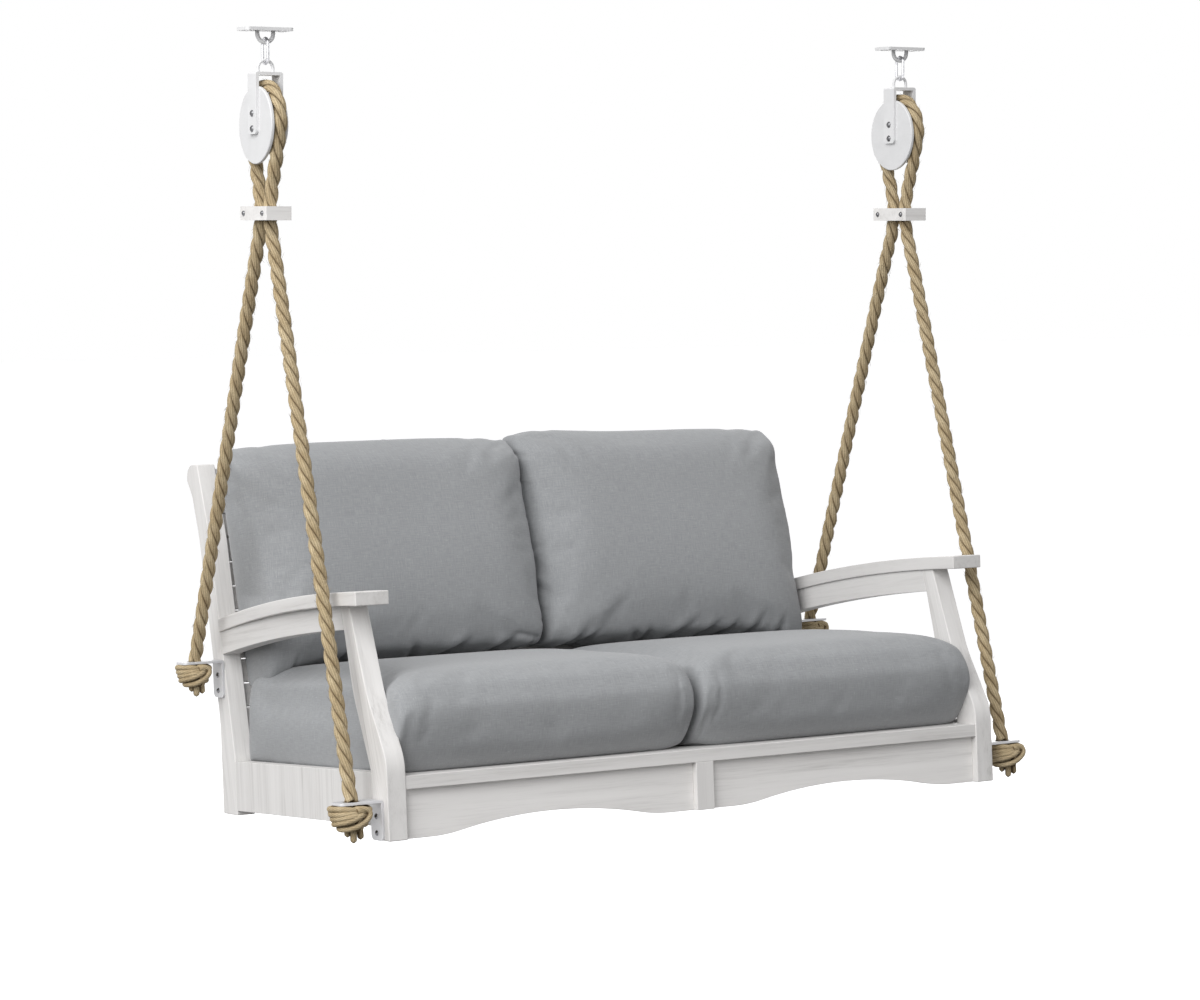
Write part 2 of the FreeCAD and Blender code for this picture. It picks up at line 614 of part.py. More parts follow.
for side, sign in SIDES:
    name = side + "_rear_post"
    scroll = "(%s + post_deep + scroll_out)" % head_face("scroll_height")
    post = board(name, "YZ_Plane", [
        corner(REAR_FOOT, "0"),
        corner("frame_depth", "0"),
        corner("frame_depth", "back_knee", "back_bend_round"),
        corner("%s + post_deep" % back_face("head_start"), "head_start", "back_bend_round"),
        corner("%s + post_deep" % head_face("scroll_start"), "scroll_start", "scroll_round"),
        corner(scroll, "scroll_height", "scroll_round / 2"),
        corner(scroll, "back_height", "scroll_round"),
        corner(head_face("back_height"), "back_height", "edge_ease * 2"),
        corner(back_face("head_start"), "head_start", "back_bend_round"),
        corner(back_face("back_knee"), "back_knee", "flare_round"),
        corner(REAR_FOOT, "rear_flare", "flare_round"),
    ], "post_thick")
    ease(post, "edge_ease")
    screw_holes(post, "rear", sign)
    on_seat(keep(post, name), "%d * %s" % (sign, POST_X))

# Arm boards fall and bow from a front overhang to the front of the rear post
ARM_REAR = "(arm_height - arm_fall)"
ARM_REAR_LOW = "(%s - arm_thick)" % ARM_REAR
ARM_LOW = "(arm_height - arm_thick)"
ARM_RUN = "(%s - arm_front)" % back_face(ARM_REAR_LOW)


def arm_underside(place):
    """Underside of the arm board at a distance from the front: its chord plus a parabola for the bow."""
    share = "((%s - arm_front) / %s)" % (place, ARM_RUN)
    return "(%s - arm_fall * %s + 4 * arm_bow * %s * (1 - %s))" % (ARM_LOW, share, share, share)


# Front posts: a plumb foot, then a raked and tapering upper part that carries the arm
FRONT_TOP_REAR = "(front_top_run + front_top_deep)"
FRONT_TOP = arm_underside("front_top_run")
FRONT_TOP_BACK = arm_underside(FRONT_TOP_REAR)
FRONT_BEND_REAR = "(front_bend_run + front_bend_deep)"
FRONT_BEND = "(front_knee + front_bend_share * (arm_height - front_knee))"


def front_post_back(height):
    """Rear edge of the front post above its second bend."""
    run = "(%s - %s)" % (FRONT_TOP_REAR, FRONT_BEND_REAR)
    rise = "(%s - %s)" % (FRONT_TOP_BACK, FRONT_BEND)
    return "(%s + %s * (%s - %s) / %s)" % (FRONT_BEND_REAR, run, height, FRONT_BEND, rise)


for side, sign in SIDES:
    name = side + "_front_post"
    post = board(name, "YZ_Plane", [
        corner("0", "0"),
        corner("front_foot", "0"),
        corner("front_foot", "side_rail_top"),
        corner(FRONT_BEND_REAR, FRONT_BEND, "front_bend_round"),
        corner(FRONT_TOP_REAR, FRONT_TOP_BACK),
        corner("front_top_run", FRONT_TOP),
        corner("front_bend_run", FRONT_BEND, "front_bend_round"),
        corner("0", "front_knee", "front_knee_round"),
    ], "post_thick")
    ease(post, "edge_ease")
    screw_holes(post, "front", sign)
    on_seat(keep(post, name), "%d * %s" % (sign, POST_X))

    name = side + "_arm_board"
    wide = "(post_thick + arm_inside + arm_outside)"
    middle = "(%s + (arm_outside - arm_inside) / 2)" % POST_X
    arm = board(name, "YZ_Plane", [
        corner("arm_front", ARM_LOW, None, "-arm_bow"),
        corner(back_face(ARM_REAR_LOW), ARM_REAR_LOW),
        corner(back_face(ARM_REAR), ARM_REAR, None, "arm_bow"),
        corner("arm_front", "arm_height"),
    ], wide)
    taper = new_sketch(arm, "XY_Plane", "0")
    edge = "%d * %s / 2" % (sign, wide)
    rear_edge = "%d * (%s / 2 - arm_outside + arm_outside_rear)" % (sign, wide)
    beyond = back_face("back_height")
    draw(taper, [
        corner(edge, "arm_front"),
        corner("%d * %s" % (sign, wide), "arm_front"),
        corner("%d * %s" % (sign, wide), beyond),
        corner("%s + (%s - %s) * (%s - arm_front) / %s" % (edge, rear_edge, edge, beyond, ARM_RUN), beyond),
    ])
    cut = arm.newObject("PartDesign::Pocket", name + "_taper")
    cut.Profile = taper
    cut.Type = "ThroughAll"
    cut.SideType = "Symmetric"
    ease(arm, "edge_ease")
    on_seat(keep(arm, name), "%d * %s" % (sign, middle))

    name = side + "_arm_rail"
    rear_top = arm_underside(back_face(ARM_REAR_LOW))
    rear_low = "(%s - arm_rail_deep)" % rear_top
    front_low = "(%s - arm_rail_deep)" % FRONT_TOP_BACK
    bow = "(arm_bow * ((%s - %s) / %s)^2)" % (back_face(ARM_REAR_LOW), FRONT_TOP_REAR, ARM_RUN)
    rail = board(name, "YZ_Plane", [
        corner(front_post_back(front_low), front_low, None, "-" + bow),
        corner(back_face(rear_low), rear_low),
        corner(back_face(ARM_REAR_LOW), ARM_REAR_LOW, None, bow),
        corner(FRONT_TOP_REAR, FRONT_TOP_BACK),
    ], "post_thick")
    ease(rail, "edge_ease / 2")
    on_seat(keep(rail, name), "%d * %s" % (sign, POST_X))

# Side rails stand between the posts, flush with their outsides, with a cleat inside for the slats
SIDE_REAR_TOP = "(side_rail_top - side_rail_fall)"
CLEAT_X = "(%s - side_rail_thick - cleat_wide / 2)" % OUTSIDE
DECK_START = "(front_rail_set + front_rail_deep)"
DECK_END = "(%s + rear_rail_set)" % REAR_FOOT
for side, sign in SIDES:
    name = side + "_side_rail"
    rail = board(name, "YZ_Plane", [
        corner("front_foot", "side_rail_top - side_rail_high"),
        corner(REAR_FOOT, "%s - side_rail_high" % SIDE_REAR_TOP),
        corner(REAR_FOOT, SIDE_REAR_TOP),
        corner("front_foot", "side_rail_top"),
    ], "side_rail_thick")
    ease(rail, "edge_ease / 2")
    on_seat(keep(rail, name), "%d * (%s - side_rail_thick / 2)" % (sign, OUTSIDE))

    name = side + "_seat_cleat"
    under = "(%s - deck_slat_thick / cos(deck_slope))"
    cleat = board(name, "YZ_Plane", [
        corner(DECK_START, (under % deck(DECK_START)) + " - cleat_high"),
        corner(REAR_FOOT, (under % deck(REAR_FOOT)) + " - cleat_high"),
        corner(REAR_FOOT, under % deck(REAR_FOOT)),
        corner(DECK_START, under % deck(DECK_START)),
    ], "cleat_wide")
    on_seat(keep(cleat, name), "%d * %s" % (sign, CLEAT_X))

# Front rail, laid flat between the posts above the apron
RAIL_LOW = "(front_rail_top - front_rail_thick)"
front_rail = board("front_seat_rail", "YZ_Plane", [
    corner("front_rail_set", RAIL_LOW),
    corner(DECK_START, RAIL_LOW),
    corner(DECK_START, "front_rail_top"),
    corner("front_rail_set", "front_rail_top"),
], "2 * " + INSIDE)
ease(front_rail, "edge_ease / 2")
on_seat(keep(front_rail, "front_seat_rail"))

# Aprons: a level end, a turn, a long arch and the same again, on each side of the centre stile
APRON_MIDDLE = "(apron_set + apron_thick / 2)"
ARCH_HALF = "((%s - stile_wide / 2) / 2 - scallop_flat)" % INSIDE
ARCH_TURN = "(2 * atan(scallop_rise / %s))" % ARCH_HALF
TURN_RUN = "(scallop_turn * sin(%s))" % ARCH_TURN
TURN_RISE = "(scallop_turn * (1 - cos(%s)))" % ARCH_TURN
ARCH_RADIUS = "(%s / sin(%s) - scallop_turn)" % (ARCH_HALF, ARCH_TURN)
TURN_BOW = "(scallop_turn * (1 - cos(%s / 2)))" % ARCH_TURN
ARCH_BOW = "(%s * (1 - cos(%s)))" % (ARCH_RADIUS, ARCH_TURN)
for side, sign in SIDES:
    name = side + "_apron"
    near, far = ("stile_wide / 2", INSIDE) if sign > 0 else ("-" + INSIDE, "-stile_wide / 2")
    arch = "(%s + scallop_flat)" % near
    arch_end = "(%s - scallop_flat)" % far
    apron = board(name, "XZ_Plane", [
        corner(near, "0"),
        corner(arch, "0", None, TURN_BOW),
        corner("%s + %s" % (arch, TURN_RUN), TURN_RISE, None, "-" + ARCH_BOW),
        corner("%s - %s" % (arch_end, TURN_RUN), TURN_RISE, None, TURN_BOW),
        corner(arch_end, "0"),
        corner(far, "0"),
        corner(far, RAIL_LOW),
        corner(near, RAIL_LOW),
    ], "apron_thick", "-" + APRON_MIDDLE)
    ease(apron, "edge_ease / 2")
    on_seat(keep(apron, name))

STILE_DEEP = "(apron_set + apron_thick - front_rail_set)"
stile = board("centre_stile", "YZ_Plane", [
    corner("front_rail_set", "0"),
    corner("front_rail_set + " + STILE_DEEP, "0"),
    corner("front_rail_set + " + STILE_DEEP, RAIL_LOW),
    corner("front_rail_set", RAIL_LOW),
], "stile_wide")
ease(stile, "edge_ease / 2")
on_seat(keep(stile, "centre_stile"))

# Rear rail between the rear feet, and the bearer under the middle of the slats
rear_rail = board("rear_seat_rail", "YZ_Plane", [
    corner(DECK_END, "rear_rail_low"),
    corner(DECK_END + " + rear_rail_thick", "rear_rail_low"),
    corner(DECK_END + " + rear_rail_thick", "rear_rail_low + rear_rail_high"),
    corner(DECK_END, "rear_rail_low + rear_rail_high"),
], "2 * " + INSIDE)
ease(rear_rail, "edge_ease / 2")
on_seat(keep(rear_rail, "rear_seat_rail"))

APRON_BACK = "(apron_set + apron_thick)"
bearer_top = under % deck(DECK_END)
bearer = board("centre_bearer", "YZ_Plane", [
    corner(APRON_BACK, bearer_top + " - bearer_high"),
    corner(DECK_END, bearer_top + " - bearer_high"),
    corner(DECK_END, bearer_top),
    corner(DECK_START, under % deck(DECK_START)),
    corner(DECK_START, RAIL_LOW),
    corner(APRON_BACK, RAIL_LOW),
], "bearer_wide")
on_seat(keep(bearer, "centre_bearer"))


def slat(wide, thick, length):
    """A slat along X with eased edges, its top face on z = 0 and its front edge on y = 0."""
    shape = Part.makeBox(length, wide, thick, Vector(-length / 2, 0, -thick))
    return shape.makeFillet(num("edge_ease"), [e for e in shape.Edges if e.BoundBox.XLength > length / 2])


# Seat slats lie across the two cleats and the bearer
pitch = num("deck_slat_wide + deck_slat_gap")
room = num("%s - %s" % (DECK_END, DECK_START)) - num("deck_slat_gap")
deck_slat = slat(num("deck_slat_wide"), num("deck_slat_thick"), 2 * num(INSIDE) - 2 * num("edge_ease"))
deck_slat.rotate(Vector(), Vector(1, 0, 0), -num("deck_slope"))
seat_slats = []
for index in range(int(room // pitch)):
    place = num(DECK_START) + num("deck_slat_gap") + index * pitch
    seat_slats.append(moved(deck_slat, 0, place, num(deck(str(place)))))
on_seat(keep(solid("seat_slats", Part.makeCompound(seat_slats)), "seat_slats"))

# Back slats stand between the rear posts and follow their lean and head
back_slat = slat(num("back_slat_wide"), num("back_slat_thick"), 2 * num(INSIDE))
back_slat.rotate(Vector(), Vector(1, 0, 0), 90)
pitch = num("back_slat_wide + back_slat_gap")
back_slats = []
height = num("back_slat_low")
while height + pitch < num("back_height"):
    if height < num("back_knee"):
        face, lean = num("frame_depth - post_deep"), 0.0
    elif height < num("head_start"):
        face, lean = num(back_face(str(height))), num("back_lean")
    else:
        face, lean = num(head_face(str(height))), num("head_lean")
    tilted = back_slat.copy()
    tilted.rotate(Vector(), Vector(1, 0, 0), -lean)
    back_slats.append(moved(tilted, 0, face + num("back_slat_set"), height))
    height += pitch * math.cos(math.radians(lean))
on_seat(keep(solid("back_slats", Part.makeCompound(back_slats[:-1])), "back_slats"))
on_seat(keep(solid("back_top_slat", back_slats[-1]), "back_top_slat"))

# Rope brackets: bent steel, one leg screwed to the post and one with the hole for the rope
BRACKET_LONG = "(%s + bracket_end - %s)" % (HALF_SPAN, OUTSIDE)
for side, sign in SIDES:
    for end, (hole_y, top) in BRACKETS.items():
        name = "%s_%s_bracket" % (side, end)
        near, bend = "%d * %s" % (sign, OUTSIDE), "%d * (%s + bracket_thick)" % (sign, OUTSIDE)
        tip = "%d * (%s + %s)" % (sign, OUTSIDE, BRACKET_LONG)
        bracket = board(name, "XZ_Plane", [
            corner(near, "%s - bracket_leg" % top),
            corner(bend, "%s - bracket_leg" % top),
            corner(bend, "%s - bracket_thick" % top),
            corner(tip, "%s - bracket_thick" % top),
            corner(tip, top),
            corner(near, top, "bracket_thick"),
        ], "bracket_wide", "-(%s)" % hole_y)
        doc.recompute()
        bent = bracket.Tip
        rounded = []
        for number, edge in enumerate(bent.Shape.Edges, start=1):
            box = edge.BoundBox
            at_tip = abs(box.Center.x - num(tip)) < 1e-4 and box.ZLength > 0.999 * edge.Length
            foot_gap = box.Center.z - num(top) + num("bracket_leg")
            at_foot = abs(foot_gap) < 1e-4 and box.XLength > 0.999 * edge.Length
            if at_tip or at_foot:
                rounded.append("Edge%d" % number)
        corners_round = bracket.newObject("PartDesign::Fillet", name + "_corners")
        corners_round.Base = (bent, rounded)
        bind(corners_round, "Radius", "bracket_corner")
        ease(bracket, "bracket_ease")
        bore(bracket, "XY_Plane", [("%d * %s" % (sign, hole_x(end)), hole_y)], "rope_hole")
        bore(bracket, "YZ_Plane", screw_spots(end), "screw_dia + 2 * bolt_fit")
        on_seat(keep(bracket, name))

# Bracket screws: domed heads on the brackets, shanks in the posts
shank = num("bracket_thick + screw_long")
screw = domed_bolt(num("screw_dia"), shank, num("screw_head"), num("screw_rise"), False)
screws = []
for side, sign in SIDES:
    for end in BRACKETS:
        turned = screw.copy()
        turned.rotate(Vector(), Vector(0, 0, 1), 180 if sign > 0 else 0)
        x = sign * num(OUTSIDE + " + bracket_thick")
        screws += [moved(turned, x, num(u), num(v)) for u, v in screw_spots(end)]
on_seat(keep(solid("bracket_screws", Part.makeCompound(screws)), "bracket_screws"))

# Stopper knots: turns of the unlaid strands under each bracket, with three strand tails below
# The waists between the turns and the bulge of a turn, as shares of the knot's radius
WAISTS = [0.62, 0.84, 0.9, 0.8, 0.5]
BULGE = 0.1
# The strand tails: how far round the first one starts, where they stand and how far they spread
TAIL_TURN, TAIL_PLACE, TAIL_SPREAD = 20, 1.1, 0.25
turns = len(WAISTS) - 1
big, step = num("knot_radius"), num("knot_pass")
profile = [Part.LineSegment(Vector(0, 0, 0), Vector(WAISTS[0] * big, 0, 0)).toShape()]
for index in range(turns):
    high = Vector(WAISTS[index] * big, 0, -index * step)
    low = Vector(WAISTS[index + 1] * big, 0, -(index + 1) * step)
    out = (high + low) * 0.5
    out.x = max(high.x, low.x) + BULGE * big
    profile.append(Part.Arc(high, out, low).toShape())
bottom = Vector(0, 0, -turns * step)
profile.append(Part.LineSegment(Vector(WAISTS[turns] * big, 0, -turns * step), bottom).toShape())
profile.append(Part.LineSegment(bottom, Vector(0, 0, 0)).toShape())
knot = Part.Face(Part.Wire(profile)).revolve(Vector(), Vector(0, 0, 1), 360)
tail_radius = num("knot_tail_dia") / 2
for index in range(3):
    angle = math.radians(120 * index + TAIL_TURN)
    spread = Vector(math.cos(angle), math.sin(angle), 0)
    root = bottom + spread * tail_radius * TAIL_PLACE + Vector(0, 0, step / 2)
    way = (Vector(0, 0, -1) + spread * TAIL_SPREAD).normalize()
    knot = knot.fuse(Part.makeCylinder(tail_radius, num("knot_tail") + step / 2, root, way))
knot = knot.removeSplitter()
crown = knot.optimalBoundingBox(False).ZMax
for side, sign in SIDES:
    for end, (hole_y, top) in BRACKETS.items():
        name = "%s_%s_knot" % (side, end)
        x = sign * num("%s + knot_out" % hole_x(end))
        shape = moved(knot, x, num(hole_y), num("%s - bracket_thick - knot_seat_gap" % top) - crown)
        on_seat(keep(solid(name, shape), name))


def seat_to_world(y, z):
    """A point of the seat's YZ plane in the YZ plane of the whole swing."""
    tilt = math.radians(num("seat_tilt"))
    return Vector(0, y * math.cos(tilt) + z * math.sin(tilt) - num("seat_ahead"),
                  z * math.cos(tilt) - y * math.sin(tilt) - num("seat_drop"))


def rope_run(hole, way):
    """One run of a rope from a bracket hole to the hub: end, the bend at the clamp, the hub's tangent.
    Worked out with the run on the left, then turned to its own side (way -1 front, 1 rear)."""
    def turned(angle):
        return Vector(0, math.cos(angle), math.sin(angle))

    start = Vector(0, -way * hole.y, hole.z)
    bend, wrap = num("rope_pinch_radius"), num(WRAP)
    middle = Vector(0, -num("rope_pinch") / 2 - bend, num(CLAMP_Z))
    hub_middle = Vector(0, 0, num(HUB_Z))
    to_bend = middle - start
    first = math.atan2(to_bend.z, to_bend.y) - math.asin(bend / to_bend.Length)
    to_hub = hub_middle - middle
    second = math.atan2(to_hub.z, to_hub.y) + math.asin((bend + wrap) / to_hub.Length)
    lift = num("rope_end_lift")
    points = [
        start + turned(first) * lift,
        middle - turned(first + math.pi / 2) * bend,
        middle - turned((first + second) / 2 + math.pi / 2) * bend,
        middle - turned(second + math.pi / 2) * bend,
        hub_middle + turned(second + math.pi / 2) * wrap,
    ]
    return [Vector(0, -way * p.y, p.z) for p in points], hub_middle, wrap


# Ropes: one length on each side, from the front knot over the hub to the rear knot
holes = {end: seat_to_world(num(y), num("%s - bracket_thick / 2" % top)) for end, (y, top) in BRACKETS.items()}
front_run, hub_middle, wrap = rope_run(holes["front"], -1)
rear_run, hub_middle, wrap = rope_run(holes["rear"], 1)
crest = hub_middle + Vector(0, 0, wrap)


def wrap_middle(point):
    """The point of the wrap halfway between a tangent point and the crest."""
    start = math.atan2(point.z - hub_middle.z, point.y - hub_middle.y)
    if start < -math.pi / 2:
        start += 2 * math.pi
    angle = (start + math.pi / 2) / 2
    return hub_middle + Vector(0, math.cos(angle), math.sin(angle)) * wrap


def line(a, b):
    return Part.LineSegment(a, b).toShape()


def arc(a, b, c):
    return Part.Arc(a, b, c).toShape()


f, r = front_run, rear_run
route = Part.Wire([
    line(f[0], f[1]), arc(f[1], f[2], f[3]), line(f[3], f[4]), arc(f[4], wrap_middle(f[4]), crest),
    arc(crest, wrap_middle(r[4]), r[4]), line(r[4], r[3]), arc(r[3], r[2], r[1]), line(r[1], r[0]),
])
section = Part.Wire([Part.Circle(f[0], f[1] - f[0], num("rope_dia") / 2).toShape()])
tube = route.makePipeShell([section], True, False)
expected = math.pi * num("rope_dia")**2 / 4 * route.Length
print("rope length %.1f, volume over section x length %.5f" % (route.Length, tube.Volume / expected))
print("rope radii: clamp %.1f, hub %.1f" % (num("rope_pinch_radius"), wrap))
for side, sign in SIDES:
    rope = keep(solid(side + "_rope", tube), side + "_rope")
    splayed(rope, sign, "0")


def rounded_wire(corners, x):
    """A closed wire at x through corners (y, z, radius): straight runs joined by tangent arcs."""
    count = len(corners)
    spots = [Vector(x, c[0], c[1]) for c in corners]
    ends = []
    for index, c in enumerate(corners):
        back = (spots[index - 1] - spots[index]).normalize()
        ahead = (spots[(index + 1) % count] - spots[index]).normalize()
        half = math.acos(max(-1, min(1, back.dot(ahead)))) / 2
        cut = c[2] / math.tan(half)
        bisector = (back + ahead).normalize()
        nearest = spots[index] + bisector * (c[2] / math.sin(half) - c[2])
        ends.append((spots[index] + back * cut, nearest, spots[index] + ahead * cut))
    edges = []
    for index in range(count):
        edges.append(arc(*ends[index]))
        edges.append(line(ends[index][2], ends[(index + 1) % count][0]))
    return Part.Wire(edges)


# Across a cushion its section swells from the drawn-in sides to the crown
SHARES = [0.0, 0.012, 0.04, 0.09, 0.17, 0.3, 0.5]
SHARES += [1 - share for share in reversed(SHARES[:-1])]


def cushion(section, side_gap, sign):
    """A loft of sections across the width of one cushion, from the middle of the seat outward."""
    inner = num("cushion_mid_gap / 2")
    width = num("%s - %s" % (INSIDE, side_gap)) - inner
    wires = []
    for share in SHARES:
        full = math.sqrt(1 - abs(1 - 2 * share)**6)
        wires.append(rounded_wire(section(full), sign * (inner + share * width)))
    return Part.makeLoft(wires, True, True)


PAD_FRONT = num("-seat_pad_front")
PAD_REAR = num("frame_depth - post_deep + back_slat_set - seat_pad_back_gap")
PAD_MIDDLE = (PAD_FRONT + PAD_REAR) / 2


# The crown's corner stands above the crown by this share of its drop
CROWN_RISE = 0.25


def seat_top(y):
    """Top of a seat cushion behind its crown."""
    drop = num("seat_pad_drop")
    rise = num("seat_pad_thick + cushion_rest") + CROWN_RISE * drop
    return num(deck(str(y))) + rise - (1 + CROWN_RISE) * drop * (y - PAD_MIDDLE) / (PAD_REAR - PAD_MIDDLE)


# How far each edge of a seat cushion draws in, as shares of its drawn-in side
DRAW_FRONT, DRAW_REAR, DRAW_TOP, DRAW_LOW = 1.2, 0.4, 1.9, 0.6
# The front is fullest at this share of the seat cushion's thickness
NOSE_HEIGHT = 0.56


def seat_section(full):
    """Seat cushion in the YZ plane of the seat: flat below, crowned above, round at the front."""
    draw_in = (1 - full) * num("seat_pad_draw")
    front = PAD_FRONT + DRAW_FRONT * draw_in
    rear = PAD_REAR - DRAW_REAR * draw_in
    thick = num("seat_pad_thick") - DRAW_TOP * draw_in
    low = DRAW_LOW * draw_in
    drop = num("seat_pad_drop")

    def at(y, rise, radius):
        return (y, num(deck(str(y))) + num("cushion_rest") + rise, num("seat_pad_%s_round" % radius))

    return [
        at(front + num("seat_pad_under"), low, "low"), at(rear, low, "low"), at(rear, thick - drop, "top"),
        at(PAD_MIDDLE, thick + CROWN_RISE * drop, "crown"),
        at(front + num("seat_pad_brow"), thick - drop, "top"),
        at(front - num("seat_pad_nose"), thick * NOSE_HEIGHT, "nose"),
    ]


# The back cushion's thickness at its top, its front top edge, its belly and its foot, as shares,
# and the height of the belly as a share of the cushion's height
TOP_THICK, BROW_THICK, BELLY_THICK, TOE_THICK = 0.36, 0.84, 1.04, 0.9
BELLY_HEIGHT = 0.45


def back_section(full):
    """Back cushion in the YZ plane of the seat: flat on the slats and below, crowned in front."""
    draw_in = (1 - full) * num("back_pad_draw")
    base = seat_top(PAD_REAR)
    high = num("back_pad_high * cos(back_lean)") - draw_in
    thick = num("back_pad_side") + full * num("back_pad_thick - back_pad_side")

    def at(rise, forward, radius):
        face = num(back_face(str(base + rise))) + num("back_slat_set - cushion_rest") - draw_in / 2
        return (face - forward, base + rise, num("back_pad_%s_round" % radius))

    def foot(forward, radius):
        y, z, rounding = at(0, forward, radius)
        return (y, seat_top(y) + num("cushion_rest"), rounding)

    return [
        foot(0, "foot"), at(high - num("back_pad_shoulder"), 0, "rear"),
        at(high + num("back_pad_peak"), thick * TOP_THICK, "top"),
        at(high - num("back_pad_brow"), thick * BROW_THICK, "brow"),
        at(high * BELLY_HEIGHT, thick * BELLY_THICK, "front"), foot(thick * TOE_THICK, "toe"),
    ]


for side, sign in SIDES:
    for place, section_of in (("seat", seat_section), ("back", back_section)):
        name = "%s_%s_cushion" % (side, place)
        on_seat(keep(solid(name, cushion(section_of, place + "_pad_side_gap", sign)), name))

# Every object has to be sound before anything is written
doc.recompute()
for thing in doc.Objects:
    if "Invalid" in thing.State or "Error" in thing.State:
        raise RuntimeError("%s did not recompute" % thing.Name)
for piece in nodes:
    if piece.Shape.isNull() or not piece.Shape.isValid() or not piece.Shape.Solids:
        raise RuntimeError("%s has no sound solid" % piece.Label)
os.makedirs("parts", exist_ok=True)
for piece in nodes:
    piece.Shape.exportStep("parts/%s.step" % piece.Label)
print("%d nodes" % len(nodes))
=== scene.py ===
import math

import bpy
import numpy as np
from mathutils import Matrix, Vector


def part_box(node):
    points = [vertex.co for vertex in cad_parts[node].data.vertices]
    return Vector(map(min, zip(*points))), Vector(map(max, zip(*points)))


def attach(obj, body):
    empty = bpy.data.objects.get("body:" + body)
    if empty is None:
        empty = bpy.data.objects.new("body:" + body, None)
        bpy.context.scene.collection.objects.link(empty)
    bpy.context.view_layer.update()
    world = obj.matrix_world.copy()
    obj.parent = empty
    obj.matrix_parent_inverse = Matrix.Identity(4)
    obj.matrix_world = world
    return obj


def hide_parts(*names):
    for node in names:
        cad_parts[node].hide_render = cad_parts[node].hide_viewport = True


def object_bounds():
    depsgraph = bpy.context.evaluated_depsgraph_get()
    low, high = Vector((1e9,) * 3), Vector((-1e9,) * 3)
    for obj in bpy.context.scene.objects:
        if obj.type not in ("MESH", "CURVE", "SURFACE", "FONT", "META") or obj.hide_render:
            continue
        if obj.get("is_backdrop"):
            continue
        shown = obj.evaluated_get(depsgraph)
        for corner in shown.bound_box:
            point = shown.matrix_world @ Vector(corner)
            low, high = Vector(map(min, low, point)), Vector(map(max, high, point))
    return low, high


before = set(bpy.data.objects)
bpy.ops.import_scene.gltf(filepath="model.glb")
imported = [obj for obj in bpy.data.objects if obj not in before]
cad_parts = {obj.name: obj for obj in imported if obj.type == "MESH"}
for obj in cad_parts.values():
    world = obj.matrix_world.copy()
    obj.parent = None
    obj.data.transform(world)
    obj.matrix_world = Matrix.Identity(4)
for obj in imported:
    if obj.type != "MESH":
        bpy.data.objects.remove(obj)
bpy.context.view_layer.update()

# Ceiling hangers: a screwed steel plate with a welded loop, one on each side, coated white after
# welding, so the coat lies over both with a faint orange peel.


def add(tree, kind, inputs=None, **settings):
    """One shader node in a tree: its settings, then its inputs, where a socket is linked and a value set."""
    made = tree.nodes.new("ShaderNode" + kind)
    for name, value in settings.items():
        setattr(made, name, value)
    for name, value in (inputs or {}).items():
        if isinstance(value, bpy.types.NodeSocket):
            tree.links.new(value, made.inputs[name])
        else:
            made.inputs[name].default_value = value
    return made


def blend(tree, share, first, second, **settings):
    """A colour that goes from the first to the second as the share goes from 0 to 1."""
    mixed = add(tree, "Mix", {0: share, 6: first, 7: second}, data_type="RGBA", **settings)
    return mixed.outputs[2]


def ramp(tree, value, low, high, start=0.0, end=1.0):
    """A value stretched so that low becomes start and high becomes end, and held there beyond them."""
    spread = {"Value": value, "From Min": low, "From Max": high, "To Min": start, "To Max": end}
    return add(tree, "MapRange", spread).outputs[0]


def sums(tree, operation, first, second):
    """Two values put together by one arithmetic operation."""
    return add(tree, "Math", {0: first, 1: second}, operation=operation).outputs[0]


def skin(name, inputs):
    """An empty group that gives a colour, a roughness and a height: its tree, inputs and outputs."""
    tree = bpy.data.node_groups.new(name, "ShaderNodeTree")
    for socket, kind in inputs.items():
        tree.interface.new_socket(socket, in_out="INPUT", socket_type="NodeSocket" + kind)
    for socket, kind in {"Colour": "Color", "Roughness": "Float", "Height": "Float"}.items():
        tree.interface.new_socket(socket, in_out="OUTPUT", socket_type="NodeSocket" + kind)
    return tree, tree.nodes.new("NodeGroupInput").outputs, tree.nodes.new("NodeGroupOutput").inputs


def finish(name, group, values, relief, constants):
    """A material whose group gives colour, roughness and height; relief is the height's depth in metres."""
    material = bpy.data.materials.new(name)
    material.use_nodes = True
    tree = material.node_tree
    shader = tree.nodes["Principled BSDF"]
    for socket, value in constants.items():
        shader.inputs[socket].default_value = value
    surface = tree.nodes.new("ShaderNodeGroup")
    surface.node_tree = group
    for socket, value in values.items():
        surface.inputs[socket].default_value = value
    bump = add(tree, "Bump", {"Height": surface.outputs["Height"], "Distance": relief, "Strength": 1.0})
    tree.links.new(surface.outputs["Colour"], shader.inputs["Base Color"])
    tree.links.new(surface.outputs["Roughness"], shader.inputs["Roughness"])
    tree.links.new(bump.outputs["Normal"], shader.inputs["Normal"])
    return material


def dress(material, *names):
    """Gives CAD pieces a material."""
    for name in names:
        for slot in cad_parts[name].material_slots:
            slot.material = material


def both(*names):
    """The left and the right piece of each name."""
    return [side + name for name in names for side in ("left_", "right_")]


enamel, given, result = skin("enamel", {"White": "Color", "Dull": "Color", "Peel": "Float"})
place = add(enamel, "TexCoord").outputs["Object"]
cloud = add(enamel, "TexNoise", {"Vector": place, "Scale": 24.0, "Detail": 4.0}).outputs[0]
peel = add(enamel, "TexNoise", {"Vector": place, "Scale": given["Peel"], "Detail": 2.0}).outputs[0]
dust = ramp(enamel, cloud, 0.45, 0.75)
enamel.links.new(blend(enamel, dust, given["White"], given["Dull"]), result["Colour"])
enamel.links.new(ramp(enamel, cloud, 0.3, 0.7, 0.34, 0.5), result["Roughness"])
enamel.links.new(peel, result["Height"])

